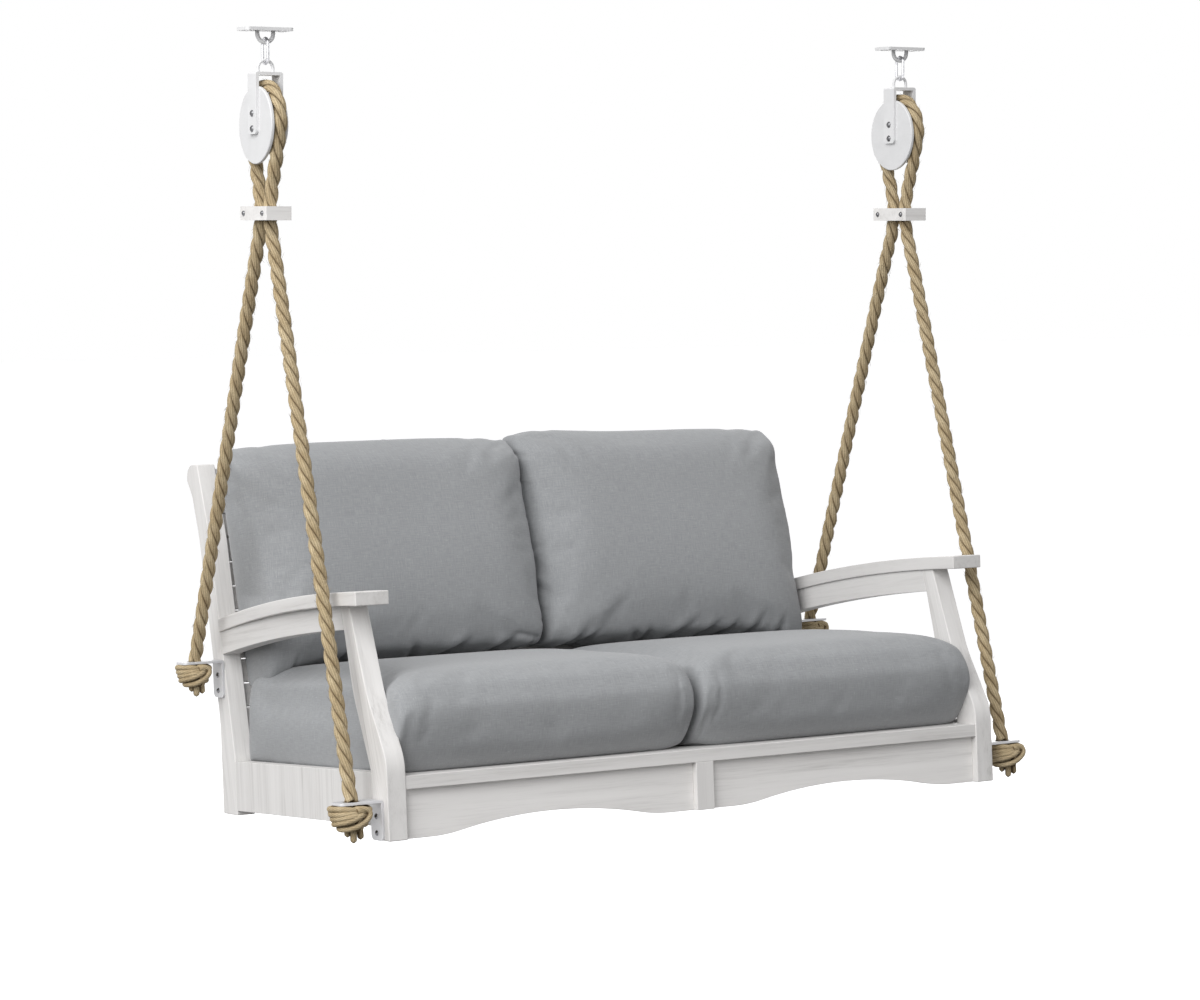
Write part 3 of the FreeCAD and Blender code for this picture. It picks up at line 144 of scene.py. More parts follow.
white_steel = finish("white_steel", enamel, {
    "White": (0.74, 0.74, 0.745, 1),
    "Dull": (0.68, 0.68, 0.685, 1),
    "Peel": 520.0,
}, 0.00012, {"Specular IOR Level": 0.5})
dress(white_steel, *both("ceiling_hanger"))

# Chain links: one closed link of round bar hooked through each ceiling loop, welded and zinc plated,
# bright with fine rubbed lines.
plated, given, result = skin("plated", {
    "Bright": "Color", "Stain": "Color", "Sleek": "Float", "Dull": "Float",
})
place = add(plated, "TexCoord").outputs["Object"]
stain = add(plated, "TexNoise", {"Vector": place, "Scale": 160.0, "Detail": 5.0}).outputs[0]
rubbed = add(plated, "TexNoise", {"Vector": place, "Scale": 2600.0, "Detail": 1.0}).outputs[0]
stained = ramp(plated, stain, 0.45, 0.7)
plated.links.new(blend(plated, stained, given["Bright"], given["Stain"]), result["Colour"])
plated.links.new(ramp(plated, stain, 0.3, 0.7, given["Sleek"], given["Dull"]), result["Roughness"])
plated.links.new(rubbed, result["Height"])
bright_steel = finish("bright_steel", plated, {
    "Bright": (0.66, 0.66, 0.68, 1),
    "Stain": (0.46, 0.46, 0.48, 1),
    "Sleek": 0.16,
    "Dull": 0.38,
}, 0.00002, {"Metallic": 1.0})
dress(bright_steel, *both("chain_link"))

# Blocks: a bent white strap with a welded eye carries two cheek discs of white plastic and the hub
# between them, all held by two dome-headed bolts.
white_plastic = finish("white_plastic", enamel, {
    "White": (0.71, 0.71, 0.715, 1),
    "Dull": (0.67, 0.67, 0.675, 1),
    "Peel": 900.0,
}, 0.00005, {"Specular IOR Level": 0.45})
dress(white_steel, *both("block_strap", "block_eye"))
dress(white_plastic, *both("outer_cheek", "inner_cheek", "block_hub"))
polished_steel = finish("polished_steel", plated, {
    "Bright": (0.15, 0.15, 0.155, 1),
    "Stain": (0.08, 0.08, 0.085, 1),
    "Sleek": 0.05,
    "Dull": 0.14,
}, 0.000004, {"Metallic": 1.0})
dress(polished_steel, *both("block_bolts", "clamp_bolts"))

# Clamps: two sawn halves of the frame's own whitewashed stock, bolted together round the two runs
# of the rope. The wash lets the grain show as grey streaks along the stock.
BARE_GRAIN = (0.44, 0.425, 0.405, 1)
BARE_FIBRE = (0.46, 0.44, 0.42, 1)
WASH_PALE = (0.80, 0.785, 0.77)
WASH_GREY = (0.72, 0.705, 0.69)
WOOD_RELIEF = 0.0002

whitewash, given, result = skin("whitewash", {
    "Along": "Vector", "Streaks": "Float", "Shift": "Vector", "Pale": "Color", "Grey": "Color",
})
place = add(whitewash, "TexCoord").outputs["Object"]
place = add(whitewash, "VectorMath", {0: place, 1: given["Shift"]}, operation="ADD").outputs[0]
run = add(whitewash, "VectorMath", {0: place, 1: given["Along"]}, operation="DOT_PRODUCT").outputs["Value"]
along = add(whitewash, "VectorMath", {0: given["Along"], "Scale": run}, operation="SCALE").outputs[0]
across = add(whitewash, "VectorMath", {0: place, 1: along}, operation="SUBTRACT").outputs[0]
slow = add(whitewash, "VectorMath", {0: along, "Scale": 0.03}, operation="SCALE").outputs[0]
fibres = add(whitewash, "VectorMath", {0: across, 1: slow}, operation="ADD").outputs[0]
fine = add(whitewash, "TexNoise", {
    "Vector": fibres, "Scale": 170.0, "Detail": 6.0, "Roughness": 0.6,
}).outputs[0]
broad = add(whitewash, "TexNoise", {
    "Vector": fibres, "Scale": 34.0, "Detail": 3.0, "Distortion": 0.6,
}).outputs[0]
hairs = add(whitewash, "TexNoise", {"Vector": fibres, "Scale": 640.0, "Detail": 2.0}).outputs[0]
worn = sums(whitewash, "MULTIPLY", ramp(whitewash, fine, 0.46, 0.7), ramp(whitewash, broad, 0.38, 0.66))
lines = sums(whitewash, "MULTIPLY", ramp(whitewash, hairs, 0.52, 0.75), ramp(whitewash, broad, 0.3, 0.7))
patchy = add(whitewash, "TexNoise", {"Vector": place, "Scale": 8.0, "Detail": 3.0}).outputs[0]
shown = sums(whitewash, "MULTIPLY", given["Streaks"], ramp(whitewash, patchy, 0.36, 0.62, 0.2, 1.0))
worn = sums(whitewash, "MULTIPLY", worn, shown)
washed = blend(whitewash, ramp(whitewash, broad, 0.3, 0.7), given["Pale"], given["Grey"])
washed = blend(whitewash, worn, washed, BARE_GRAIN)
washed = blend(whitewash, sums(whitewash, "MULTIPLY", lines, 0.35), washed, BARE_FIBRE)
whitewash.links.new(washed, result["Colour"])
whitewash.links.new(ramp(whitewash, fine, 0.3, 0.7, 0.46, 0.66), result["Roughness"])
whitewash.links.new(sums(whitewash, "ADD", fine, sums(whitewash, "MULTIPLY", hairs, 0.4)), result["Height"])


def washed_wood(name, along, streaks, shift=(0, 0, 0), tone_scale=1.0):
    """Whitewashed wood whose grain runs along a direction of the whole swing; tone_scale scales both wash
    colours, giving a paler or a darker copy.
    """
    along = np.array(along) / np.linalg.norm(along)
    values = {"Along": along.tolist(), "Streaks": streaks, "Shift": shift}
    values["Pale"] = [part * tone_scale for part in WASH_PALE] + [1]
    values["Grey"] = [part * tone_scale for part in WASH_GREY] + [1]
    return finish(name, whitewash, values, WOOD_RELIEF, {"Specular IOR Level": 0.4})


dress(washed_wood("clamp_wood", (1, 0, 0), 0.5, tone_scale=1.05), *both("clamp_outer_half", "clamp_inner_half"))

# Ropes: three-strand laid rope, one length on each side, from the front bracket up through the
# clamp, over the hub and down to the rear bracket. Stray fibres stand out from the strands.
ROPE_ROUTE = [
    (-0.3540, -1.3819), (-0.0537, -0.4502), (-0.0098, -0.3408), (-0.0539, -0.2177),
    (-0.0700, -0.1568), (-0.0315, -0.1068), (0.0315, -0.1068), (0.0700, -0.1568),
    (0.0539, -0.2177), (0.0094, -0.3410), (0.0572, -0.4499), (0.3293, -1.2065),
]
ROPE_STEP = 0.004
LOOP_REACH = 0.711
LOOP_HEIGHT = -0.0655
ROPE_SPLAY = 0.006458
STRAND_RADIUS = 0.0069
STRAND_REACH = 0.0064
STRAND_SIDES = 16
LAY = 0.102
HAIR_SEEDS = {"left": 11, "right": 12}
HAIR_COUNT = 900
HAIR_CURL = 0.6
HAIR_ROOT = 0.0122
HAIR_LENGTHS = (0.004, 0.013)
HAIR_RISES = (0.0015, 0.0055)
HAIR_RADII = (0.00028, 0.0001)
HAIR_POINTS = 5
HAIR_SIDES = 3
BARE_ENDS = 8
QUARTER_TURN = 1.57
YARN_PITCH = 110.0

yarn, given, result = skin("yarn", {"Light": "Color", "Mid": "Color", "Dark": "Color"})
spot = add(yarn, "SeparateXYZ", {0: add(yarn, "TexCoord").outputs["UV"]}).outputs
turn = sums(yarn, "MULTIPLY", spot["X"], -YARN_PITCH)
turn = sums(yarn, "ADD", sums(yarn, "MULTIPLY", spot["Y"], 9.0), turn)
twist = sums(yarn, "SINE", sums(yarn, "MULTIPLY", turn, 2 * math.pi), 0.0)
# inward is 1 on the side of each strand that faces inward (the rope's axis in a rope, the heart in a knot)
# and -1 on its outer side.
inward = sums(yarn, "COSINE", sums(yarn, "MULTIPLY", spot["Y"], 2 * math.pi), 0.0)
slide = add(yarn, "CombineXYZ", {
    "X": sums(yarn, "MULTIPLY", turn, 2.2), "Y": sums(yarn, "MULTIPLY", spot["X"], YARN_PITCH),
}).outputs[0]
fibre = add(yarn, "TexNoise", {"Vector": slide, "Scale": 3.0, "Detail": 5.0, "Roughness": 0.65}).outputs[0]
place = add(yarn, "TexCoord").outputs["Object"]
patch = add(yarn, "TexNoise", {"Vector": place, "Scale": 34.0, "Detail": 4.0}).outputs[0]
shade = ramp(yarn, fibre, 0.35, 0.68, 0.46, -0.14)
shade = sums(yarn, "ADD", ramp(yarn, twist, -1.0, 0.4, 0.34, 0.0), shade)
# Painted shade: the inward side of each strand is darkened towards Dark, standing in for the shade in the
# grooves between strands. The fibre noise and yarn lines above are the yarn's own darker streaks.
shade = sums(yarn, "MAXIMUM", shade, ramp(yarn, inward, -0.55, 0.2, 0.0, 0.95))
tan = blend(yarn, ramp(yarn, patch, 0.38, 0.64), given["Mid"], given["Light"])
yarn.links.new(blend(yarn, shade, tan, given["Dark"]), result["Colour"])
yarn.links.new(ramp(yarn, fibre, 0.3, 0.7, 0.72, 0.95), result["Roughness"])
yarn.links.new(sums(yarn, "ADD", sums(yarn, "MULTIPLY", twist, 0.25), fibre), result["Height"])
# Dark is the colour of the dark fibres and also of the painted shade in the grooves between strands.
rope_fibre = finish("rope_fibre", yarn, {
    "Light": (0.70, 0.575, 0.37, 1),
    "Mid": (0.56, 0.44, 0.265, 1),
    "Dark": (0.125, 0.084, 0.042, 1),
}, 0.0009, {"Specular IOR Level": 0.2})


def strand(centre, normal, radius, around):
    """A tube round a line of points: at each point a circle of the radius, started on the side of the
    normal and turned about the line. Gives points, faces and, for each corner, length along and turn."""
    ahead = np.gradient(centre, axis=0)
    ahead /= np.linalg.norm(ahead, axis=1, keepdims=True)
    up = normal - np.sum(normal * ahead, axis=1, keepdims=True) * ahead
    up /= np.linalg.norm(up, axis=1, keepdims=True)
    side = np.cross(ahead, up)
    angle = np.linspace(0, 2 * np.pi, around, endpoint=False)[None, :, None]
    radius = np.broadcast_to(np.asarray(radius, float), len(centre))[:, None, None]
    ring = np.cos(angle) * up[:, None, :] + np.sin(angle) * side[:, None, :]
    points = centre[:, None, :] + radius * ring
    step = np.linalg.norm(np.diff(centre, axis=0), axis=1)
    gone = np.concatenate([[0], np.cumsum(step)])
    row, column = np.meshgrid(np.arange(len(centre) - 1), np.arange(around), indexing="ij")
    after = (column + 1) % around
    faces = np.stack([row * around + column, row * around + after,
                      (row + 1) * around + after, (row + 1) * around + column], axis=-1).reshape(-1, 4)
    turns = np.stack([column, column + 1, column + 1, column], axis=-1).reshape(-1, 4) / around
    lengths = np.stack([gone[row], gone[row], gone[row + 1], gone[row + 1]], axis=-1).reshape(-1, 4)
    return points.reshape(-1, 3), faces, np.stack([lengths, turns], axis=-1)


def tube_mesh(name, tubes, around):
    """One mesh of many tubes, each closed by a flat cap at both ends, with length and turn as UV map."""
    points, faces, spots, base = [], [], [], 0
    for tube_points, tube_faces, tube_spots in tubes:
        points.append(tube_points)
        faces += (tube_faces + base).tolist()
        spots.append(tube_spots.reshape(-1, 2))
        first = base + np.arange(around)
        faces += [first[::-1].tolist(), (first + len(tube_points) - around).tolist()]
        spots.append(np.zeros((2 * around, 2)))
        base += len(tube_points)
    mesh = bpy.data.meshes.new(name)
    mesh.from_pydata(np.concatenate(points).tolist(), [], faces)
    mesh.uv_layers.new(name="along").data.foreach_set("uv", np.concatenate(spots).ravel())
    mesh.shade_smooth()
    return mesh


def new_piece(name, mesh, material, body):
    """A finished piece in the scene, with its material and the body it rides on."""
    mesh.materials.append(material)
    piece = bpy.data.objects.new(name, mesh)
    bpy.context.scene.collection.objects.link(piece)
    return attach(piece, body)


def spline_points(name, controls):
    """Points along a smooth NURBS line that its controls pull into shape, read from a bare curve."""
    curve = bpy.data.curves.new(name, "CURVE")
    curve.dimensions = "3D"
    curve.resolution_u = 200
    spline = curve.splines.new("NURBS")
    spline.points.add(len(controls) - 1)
    spline.points.foreach_set("co", np.hstack([controls, np.ones((len(controls), 1))]).ravel())
    spline.order_u = 3
    spline.use_endpoint_u = True
    holder = bpy.data.objects.new(name, curve)
    line = bpy.data.meshes.new_from_object(holder)
    points = np.empty(len(line.vertices) * 3)
    line.vertices.foreach_get("co", points)
    bpy.data.objects.remove(holder)
    return points.reshape(-1, 3)


def evenly(points, step):
    """The same line with its points a step apart."""
    gone = np.concatenate([[0], np.cumsum(np.linalg.norm(np.diff(points, axis=0), axis=1))])
    stops = np.linspace(0, gone[-1], int(gone[-1] / step) + 1)
    return np.stack([np.interp(stops, gone, points[:, axis]) for axis in range(3)], axis=1), stops


ropes = {}
for side, sign in (("left", -1), ("right", 1)):
    route = np.array([(sign * (LOOP_REACH + (LOOP_HEIGHT - z) * ROPE_SPLAY), y, z) for y, z in ROPE_ROUTE])
    middle, gone = evenly(spline_points(side + "_rope_line", route), ROPE_STEP)
    ahead = np.gradient(middle, axis=0)
    ahead /= np.linalg.norm(ahead, axis=1, keepdims=True)
    level = np.cross(ahead, np.cross([1.0, 0, 0], ahead))
    level /= np.linalg.norm(level, axis=1, keepdims=True)
    upright = np.cross(ahead, level)
    tubes = []
    for number in range(3):
        angle = (2 * np.pi * (gone / LAY + number / 3))[:, None]
        outward = np.cos(angle) * level - np.sin(angle) * upright
        # Each strand's ring starts on its side facing the rope's axis, where rope_fibre paints its groove
        # shade.
        tubes.append(strand(middle + STRAND_REACH * outward, -outward, STRAND_RADIUS, STRAND_SIDES))
    rope = new_piece(side + "_laid_rope", tube_mesh(side + "_laid_rope", tubes, STRAND_SIDES), rope_fibre,
                     side + "_hanging_gear")
    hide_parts(side + "_rope")

    rng = np.random.default_rng(HAIR_SEEDS[side])
    hairs = []
    along = np.linspace(0, 1, HAIR_POINTS)[:, None]
    radii = np.linspace(*HAIR_RADII, HAIR_POINTS)
    for root in rng.integers(BARE_ENDS, len(middle) - BARE_ENDS, HAIR_COUNT):
        lean, curl = rng.uniform(0, 2 * np.pi), rng.uniform(-HAIR_CURL, HAIR_CURL)
        sweep = lean + QUARTER_TURN
        out = math.cos(lean) * level[root] + math.sin(lean) * upright[root]
        swept = math.cos(sweep) * level[root] + math.sin(sweep) * upright[root]
        long, rise = rng.uniform(*HAIR_LENGTHS), rng.uniform(*HAIR_RISES)
        hair = middle[root] + out * (HAIR_ROOT + rise * along) + ahead[root] * long * along
        hair = hair + swept * curl * long * along**2
        hairs.append(strand(hair, swept, radii, HAIR_SIDES))
    fluff = new_piece(side + "_rope_fluff", tube_mesh(side + "_rope_fluff", hairs, HAIR_SIDES), rope_fibre,
                      side + "_hanging_gear")
    ropes[side] = (rope, fluff, route[0], middle)

# Posts, arms, rails and aprons: boards sawn to shape, eased on their edges, glued and screwed, then
# whitewashed. The grain follows each board, and on the side rails it stands upright.
LEAN = math.radians(4.4)
SEAT_BACK = np.array([0, math.cos(LEAN), -math.sin(LEAN)])
SEAT_UP = np.array([0, math.sin(LEAN), math.cos(LEAN)])
REAR_POST_SLOPE = 0.187
FRONT_POST_SLOPE = 0.30
ARM_SLOPE = -0.1


def seat_way(back, up):
    """A direction of the seat's own side view in the whole swing."""
    return back * SEAT_BACK + up * SEAT_UP


dress(washed_wood("rear_post_wood", seat_way(REAR_POST_SLOPE, 1), 0.75), *both("rear_post"))
dress(washed_wood("front_post_wood", seat_way(FRONT_POST_SLOPE, 1), 0.75), *both("front_post"))
arm_wood = washed_wood("arm_wood", seat_way(1, ARM_SLOPE), 0.7, tone_scale=0.91)
dress(arm_wood, *both("arm_board", "arm_rail"))
dress(washed_wood("side_rail_wood", seat_way(0, 1), 0.65, tone_scale=0.95), *both("side_rail"))
cross_wood = washed_wood("cross_wood", (1, 0, 0), 0.7)
dress(cross_wood, "front_seat_rail", "rear_seat_rail")
# Painted light: the aprons' copy is made paler (1.13) to offset the shade that falls on them under the front
# seat rail.
dress(washed_wood("apron_wood", (1, 0, 0), 0.4, shift=(0, 0, 0.2), tone_scale=1.13), *both("apron"))
dress(washed_wood("stile_wood", seat_way(0, 1), 0.6, shift=(0.3, 0, 0)), "centre_stile")
dress(washed_wood("bearer_wood", seat_way(1, 0), 0.6), "centre_bearer", *both("seat_cleat"))

# Slats: planed strips of the same wood, ten across the seat and eleven up the back, each screwed
# down at its ends. Their grain runs from side to side.
dress(cross_wood, "seat_slats", "back_slats", "back_top_slat")

# Rope brackets: bent steel angles coated white, one leg held to the post by two dome-headed screws
# and one with the hole for the rope.
# Painted shade: their white coat is given greyer than the hangers' (0.66 against 0.74), standing in for the
# shade that falls on the brackets under the knots.
bracket_steel = finish("bracket_steel", enamel, {
    "White": (0.66, 0.66, 0.675, 1),
    "Dull": (0.58, 0.58, 0.595, 1),
    "Peel": 620.0,
}, 0.0001, {"Metallic": 0.35})
dress(bracket_steel, *both("front_bracket", "rear_bracket"))
dress(polished_steel, "bracket_screws")

# Stopper knots: under each bracket the rope is unlaid and its strands are wound round themselves
# and tucked, with three short strand ends left below.
KNOT_STRAND = 0.0053
KNOT_SIDES = 12
KNOT_STEP = 0.003
KNOT_HEART = np.array([0, 0, -0.026])
KNOT_SIZES = {"front": np.array([1.0, 1.0, 1.0]), "rear": np.array([0.87, 0.9, 0.93])}
KNOT_TWIN = np.array([-0.97, -1, 0.96])
KNOT_TWIN_DROP = np.array([0, 0, 1.5])
KNOT_NUDGE = np.array([1e-5, 0, 0])
MILLIMETRE = 0.001
KNOT_LOOPS = [
    [(-14, -26, -9), (-37, -6, -10), (-35, 9, -9), (-24, 21, -7), (-10, 28, -6), (4, 28, -7),
     (14, 20, -10), (18, 8, -14)],
    [(-16, -25, -17), (-36, -4, -19.5), (-31, 13, -18), (-20, 24, -16.5), (-8, 30, -15), (5, 30, -14),
     (15, 24, -14), (20, 10, -16)],
    [(-14, -25, -26), (-33, -4, -28), (-28, 14, -26), (-16, 26, -23.5), (-4, 32, -21), (8, 32, -18.5),
     (17, 26, -17), (22, 14, -17)],
    [(-12, -24, -34), (-30, -2, -37), (-26, 13, -35), (-16, 25, -31.5), (-3, 32, -28), (10, 32, -23.5),
     (20, 27, -18.5), (25, 17, -16), (18, 6, -15)],
    [(-16, -20, -42), (-22, 2, -44), (-13, 19, -43.5), (2, 28, -41), (17, 28, -36), (30, 20, -28),
     (37, 12, -19), (35, 11, -10), (25, 17, -6), (12, 21, -6.5), (4, 14, -11)],
    [(24, 8, -24), (14, 17, -31), (0, 19, -35), (-12, 14, -38), (-20, 0, -39), (-10, -16, -38)],
    [(20, 4, -10), (28, 5, -15), (29, 4, -22), (22, 8, -30), (8, 12, -34)],
    [(-10, -8, -20), (8, 10, -22), (14, -4, -26), (-6, 12, -28), (0, -10, -32)],
    [(-20, -6, -8), (-8, 10, -9), (10, 8, -10), (16, -8, -11), (0, -16, -10)],
]
KNOT_TAIL = 0.0061
KNOT_TAIL_BLUNT = 0.04
KNOT_TAILS = [
    [(5, 8, -36), (7, 10, -52), (7, 11, -69)],
    [(-3, 1, -36), (-4, 2, -50), (-5, 2, -60)],
    [(16, 1, -36), (18, 1, -52), (19, 1, -64)],
]
KNOT_NECK = [
    [(0, 7, 2), (0, 7, -8), (2, 12, -18)],
    [(6, -3.5, 2), (6, -3.5, -8), (10, -8, -18)],
    [(-6, -3.5, 2), (-6, -3.5, -8), (-10, -8, -18)],
]
KNOT_TURN = math.radians(30.4)
KNOT_AXES = np.array([
    [math.cos(KNOT_TURN), -math.sin(KNOT_TURN), 0],
    [-math.sin(KNOT_TURN), -math.cos(KNOT_TURN), 0],
    [0, 0, 1],
])

for side in ("left", "right"):
    for end in ("front", "rear"):
        low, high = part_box(side + "_" + end + "_knot")
        top = np.array([(low[0] + high[0]) / 2, (low[1] + high[1]) / 2, high[2]])
        heart, size = top + KNOT_HEART, KNOT_SIZES[end]
        lines = []
        for loop in KNOT_LOOPS:
            lines.append(np.array(loop, float) * size)
            lines.append(lines[-1] * KNOT_TWIN - KNOT_TWIN_DROP)
        lines += [np.array(neck, float) for neck in KNOT_NECK]
        lines += [np.array(tail, float) * size for tail in KNOT_TAILS]
        tubes = []
        for number, line in enumerate(lines):
            controls = top + line @ KNOT_AXES * MILLIMETRE
            path, gone = evenly(spline_points("knot_line", controls), KNOT_STEP)
            radius = np.full(len(path), KNOT_STRAND)
            if number >= len(lines) - len(KNOT_TAILS):
                left = np.minimum((gone[-1] - gone) / KNOT_TAIL, 1)
                radius = KNOT_TAIL * np.sqrt(np.maximum(1 - (1 - left)**2, KNOT_TAIL_BLUNT))
            # Each strand's ring starts on its side facing the knot's heart, where rope_fibre paints its
            # groove shade.
            tubes.append(strand(path, heart - path + KNOT_NUDGE, radius, KNOT_SIDES))
        name = side + "_" + end + "_stopper"
        knot = new_piece(name, tube_mesh(name, tubes, KNOT_SIDES), rope_fibre, "seat")
        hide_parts(side + "_" + end + "_knot")
    rope, fluff, start, path = ropes[side]

# Seat cushions: a loose box of woven grey cloth over a soft core, full and rounded at the front,
# flat where it lies on the slats.
SEAT_VOXEL = 0.008
SEAT_SHRINK = 0.010
SEAT_AHEAD = 0.398
SEAT_DROP = 1.452
SWELL_FRAMES = 20
SWELL_PRESSURE = 4.0
SWELL_CAP = 0.016
FOLD_WIDTH = 1.2
FOLD_FACING = (0.1, 0.6)
FOLD_LEAD = 0.05
FOLD_RIM = 0.45
FOLD_RIM_PLACE = 2.1
FOLD_RIM_WIDTH = 1.4

linen, given, result = skin("linen", {"Light": "Color", "Mid": "Color", "Dark": "Color"})
spot = add(linen, "SeparateXYZ", {0: add(linen, "TexCoord").outputs["UV"]}).outputs
slubs = []
for stretch_x, stretch_y in ((45.0, 700.0), (700.0, 45.0), (110.0, 420.0), (420.0, 110.0)):
    thread = add(linen, "CombineXYZ", {
        "X": sums(linen, "MULTIPLY", spot["X"], stretch_x),
        "Y": sums(linen, "MULTIPLY", spot["Y"], stretch_y),
    }).outputs[0]
    slubs.append(add(linen, "TexNoise", {"Vector": thread, "Scale": 1.0, "Detail": 3.0}).outputs[0])
heather = sums(linen, "MULTIPLY", sums(linen, "ADD", slubs[0], slubs[1]), 0.5)
fleck = sums(linen, "MAXIMUM", ramp(linen, slubs[2], 0.64, 0.78), ramp(linen, slubs[3], 0.64, 0.78))
place = add(linen, "TexCoord").outputs["Object"]
fade = add(linen, "TexNoise", {"Vector": place, "Scale": 6.0, "Detail": 4.0}).outputs[0]
cloth = blend(linen, ramp(linen, heather, 0.38, 0.62), given["Dark"], given["Mid"])
cloth = blend(linen, sums(linen, "MULTIPLY", fleck, 0.7), cloth, given["Light"])
cloth = blend(linen, ramp(linen, fade, 0.4, 0.7, 0.0, 0.25), cloth, given["Dark"])
linen.links.new(cloth, result["Colour"])
linen.links.new(ramp(linen, heather, 0.3, 0.7, 0.82, 0.96), result["Roughness"])
linen.links.new(sums(linen, "ADD", heather, sums(linen, "MULTIPLY", fleck, 0.4)), result["Height"])
cushion_fabric = finish("cushion_fabric", linen, {
    "Light": (0.50, 0.508, 0.517, 1),
    "Mid": (0.358, 0.366, 0.375, 1),
    "Dark": (0.284, 0.292, 0.301, 1),
}, 0.0004, {"Specular IOR Level": 0.2, "Sheen Weight": 0.2, "Sheen Roughness": 0.5})


def tip(vectors, lean):
    """Vectors seen from a side view that leans back: across, back and up."""
    cosine, sine = math.cos(lean), math.sin(lean)
    across, back, up = vectors.T
    return np.stack([across, back * cosine - up * sine, back * sine + up * cosine], axis=1)


def seat_view(points):
    """Points as seen by the seat: across, back from the front feet and up from them."""
    return tip(points + [0, SEAT_AHEAD, SEAT_DROP], LEAN)


def mesh_arrays(mesh):
    """The points of a mesh and the outward normal at each."""
    points, normals = np.empty(len(mesh.vertices) * 3), np.empty(len(mesh.vertices) * 3)
    mesh.vertices.foreach_get("co", points)
    mesh.vertex_normals.foreach_get("vector", normals)
    return points.reshape(-1, 3), normals.reshape(-1, 3)


def soften(mesh, share, rounds):
    """Moves every point towards the mean of its neighbours by a share of the way, round after round."""
    points, _ = mesh_arrays(mesh)
    ends = np.empty(len(mesh.edges) * 2, int)
    mesh.edges.foreach_get("vertices", ends)
    first, second = np.concatenate([ends.reshape(-1, 2), ends.reshape(-1, 2)[:, ::-1]]).T
    count = np.bincount(first, minlength=len(points))
    for _ in range(rounds):
        total = [np.bincount(first, points[second, axis], len(points)) for axis in range(3)]
        points = points + share * (np.stack(total, axis=1) / count[:, None] - points)
    mesh.vertices.foreach_set("co", points.ravel())
    mesh.update()


def cushion_shell(name, node, voxel, shrink):
    """A copy of a CAD cushion with even quads, drawn in along its normals so that it can swell. The flats
    in front and on top draw in most, by the fourth power of the normal, and the edges and sides stay."""
    rough = bpy.data.objects.new(name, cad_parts[node].data.copy())
    rough.data.materials.clear()
    bpy.context.scene.collection.objects.link(rough)
    even = rough.modifiers.new("even", "REMESH")
    even.mode = "VOXEL"
    even.voxel_size = voxel
    bpy.context.view_layer.update()
    mesh = bpy.data.meshes.new_from_object(rough.evaluated_get(bpy.context.evaluated_depsgraph_get()))
    bpy.data.objects.remove(rough)
    points, normals = mesh_arrays(mesh)
    flat = np.max(np.abs(normals[:, 1:]), axis=1, keepdims=True)**4
    mesh.vertices.foreach_set("co", (points - shrink * flat * normals).ravel())
    mesh.update()
    return mesh


def swell(shells, held):
    """Blows each shell up as cloth for twenty frames, with the held points pinned. A move m becomes
    cap (1 - exp(-m / cap)), so that no point goes further than the cap."""
    trials = []
    for mesh, pins in zip(shells, held):
        trial = bpy.data.objects.new("trial", mesh)
        bpy.context.scene.collection.objects.link(trial)
        group = trial.vertex_groups.new(name="held")
        group.add(np.flatnonzero(pins).tolist(), 1.0, "REPLACE")
        cloth = trial.modifiers.new("cloth", "CLOTH")
        cloth.settings.quality = 3
        cloth.settings.mass = 0.4
        cloth.settings.tension_stiffness = 18
        cloth.settings.compression_stiffness = 18
        cloth.settings.bending_stiffness = 0.6
        cloth.settings.use_pressure = True
        cloth.settings.uniform_pressure_force = SWELL_PRESSURE
        cloth.settings.effector_weights.gravity = 0
        cloth.settings.vertex_group_mass = "held"
        cloth.collision_settings.use_collision = False
        cloth.point_cache.frame_end = SWELL_FRAMES
        trials.append(trial)
    for step in range(1, SWELL_FRAMES + 1):
        bpy.context.scene.frame_set(step)
    graph = bpy.context.evaluated_depsgraph_get()
    for mesh, trial in zip(shells, trials):
        blown = bpy.data.meshes.new_from_object(trial.evaluated_get(graph))
        start, after = mesh_arrays(mesh)[0], mesh_arrays(blown)[0]
        move = after - start
        far = np.linalg.norm(move, axis=1, keepdims=True)
        move *= SWELL_CAP * (1 - np.exp(-far / SWELL_CAP)) / np.maximum(far, 1e-9)
        bpy.data.objects.remove(trial)
        mesh.vertices.foreach_set("co", (start + move).ravel())
        mesh.update()
    bpy.context.scene.frame_set(1)


def finer(mesh):
    """The same skin with every face divided in four and smoothed."""
    coarse = bpy.data.objects.new("coarse", mesh)
    bpy.context.scene.collection.objects.link(coarse)
    divided = coarse.modifiers.new("finer", "SUBSURF")
    divided.levels = 1
    divided.render_levels = 1
    fine = bpy.data.meshes.new_from_object(coarse.evaluated_get(bpy.context.evaluated_depsgraph_get()))
    bpy.data.objects.remove(coarse)
    return fine


def lay_cloth(mesh, lean):
    """UV map in metres: each face is laid flat on the side of a leaning box that it faces most."""
    turned = tip(seat_view(mesh_arrays(mesh)[0]), lean)
    corners = np.empty(len(mesh.loops), int)
    mesh.loops.foreach_get("vertex_index", corners)
    counts = np.empty(len(mesh.polygons), int)
    mesh.polygons.foreach_get("loop_total", counts)
    normals = np.empty(len(mesh.polygons) * 3)
    mesh.polygons.foreach_get("normal", normals)
    facing = np.argmax(np.abs(tip(normals.reshape(-1, 3), LEAN)), axis=1)
    facing = np.repeat(facing, counts)
    pick = np.array([[1, 2], [0, 2], [0, 1]])[facing]
    flat = np.take_along_axis(turned[corners], pick, axis=1)
    mesh.uv_layers.new(name="cloth").data.foreach_set("uv", flat.ravel())


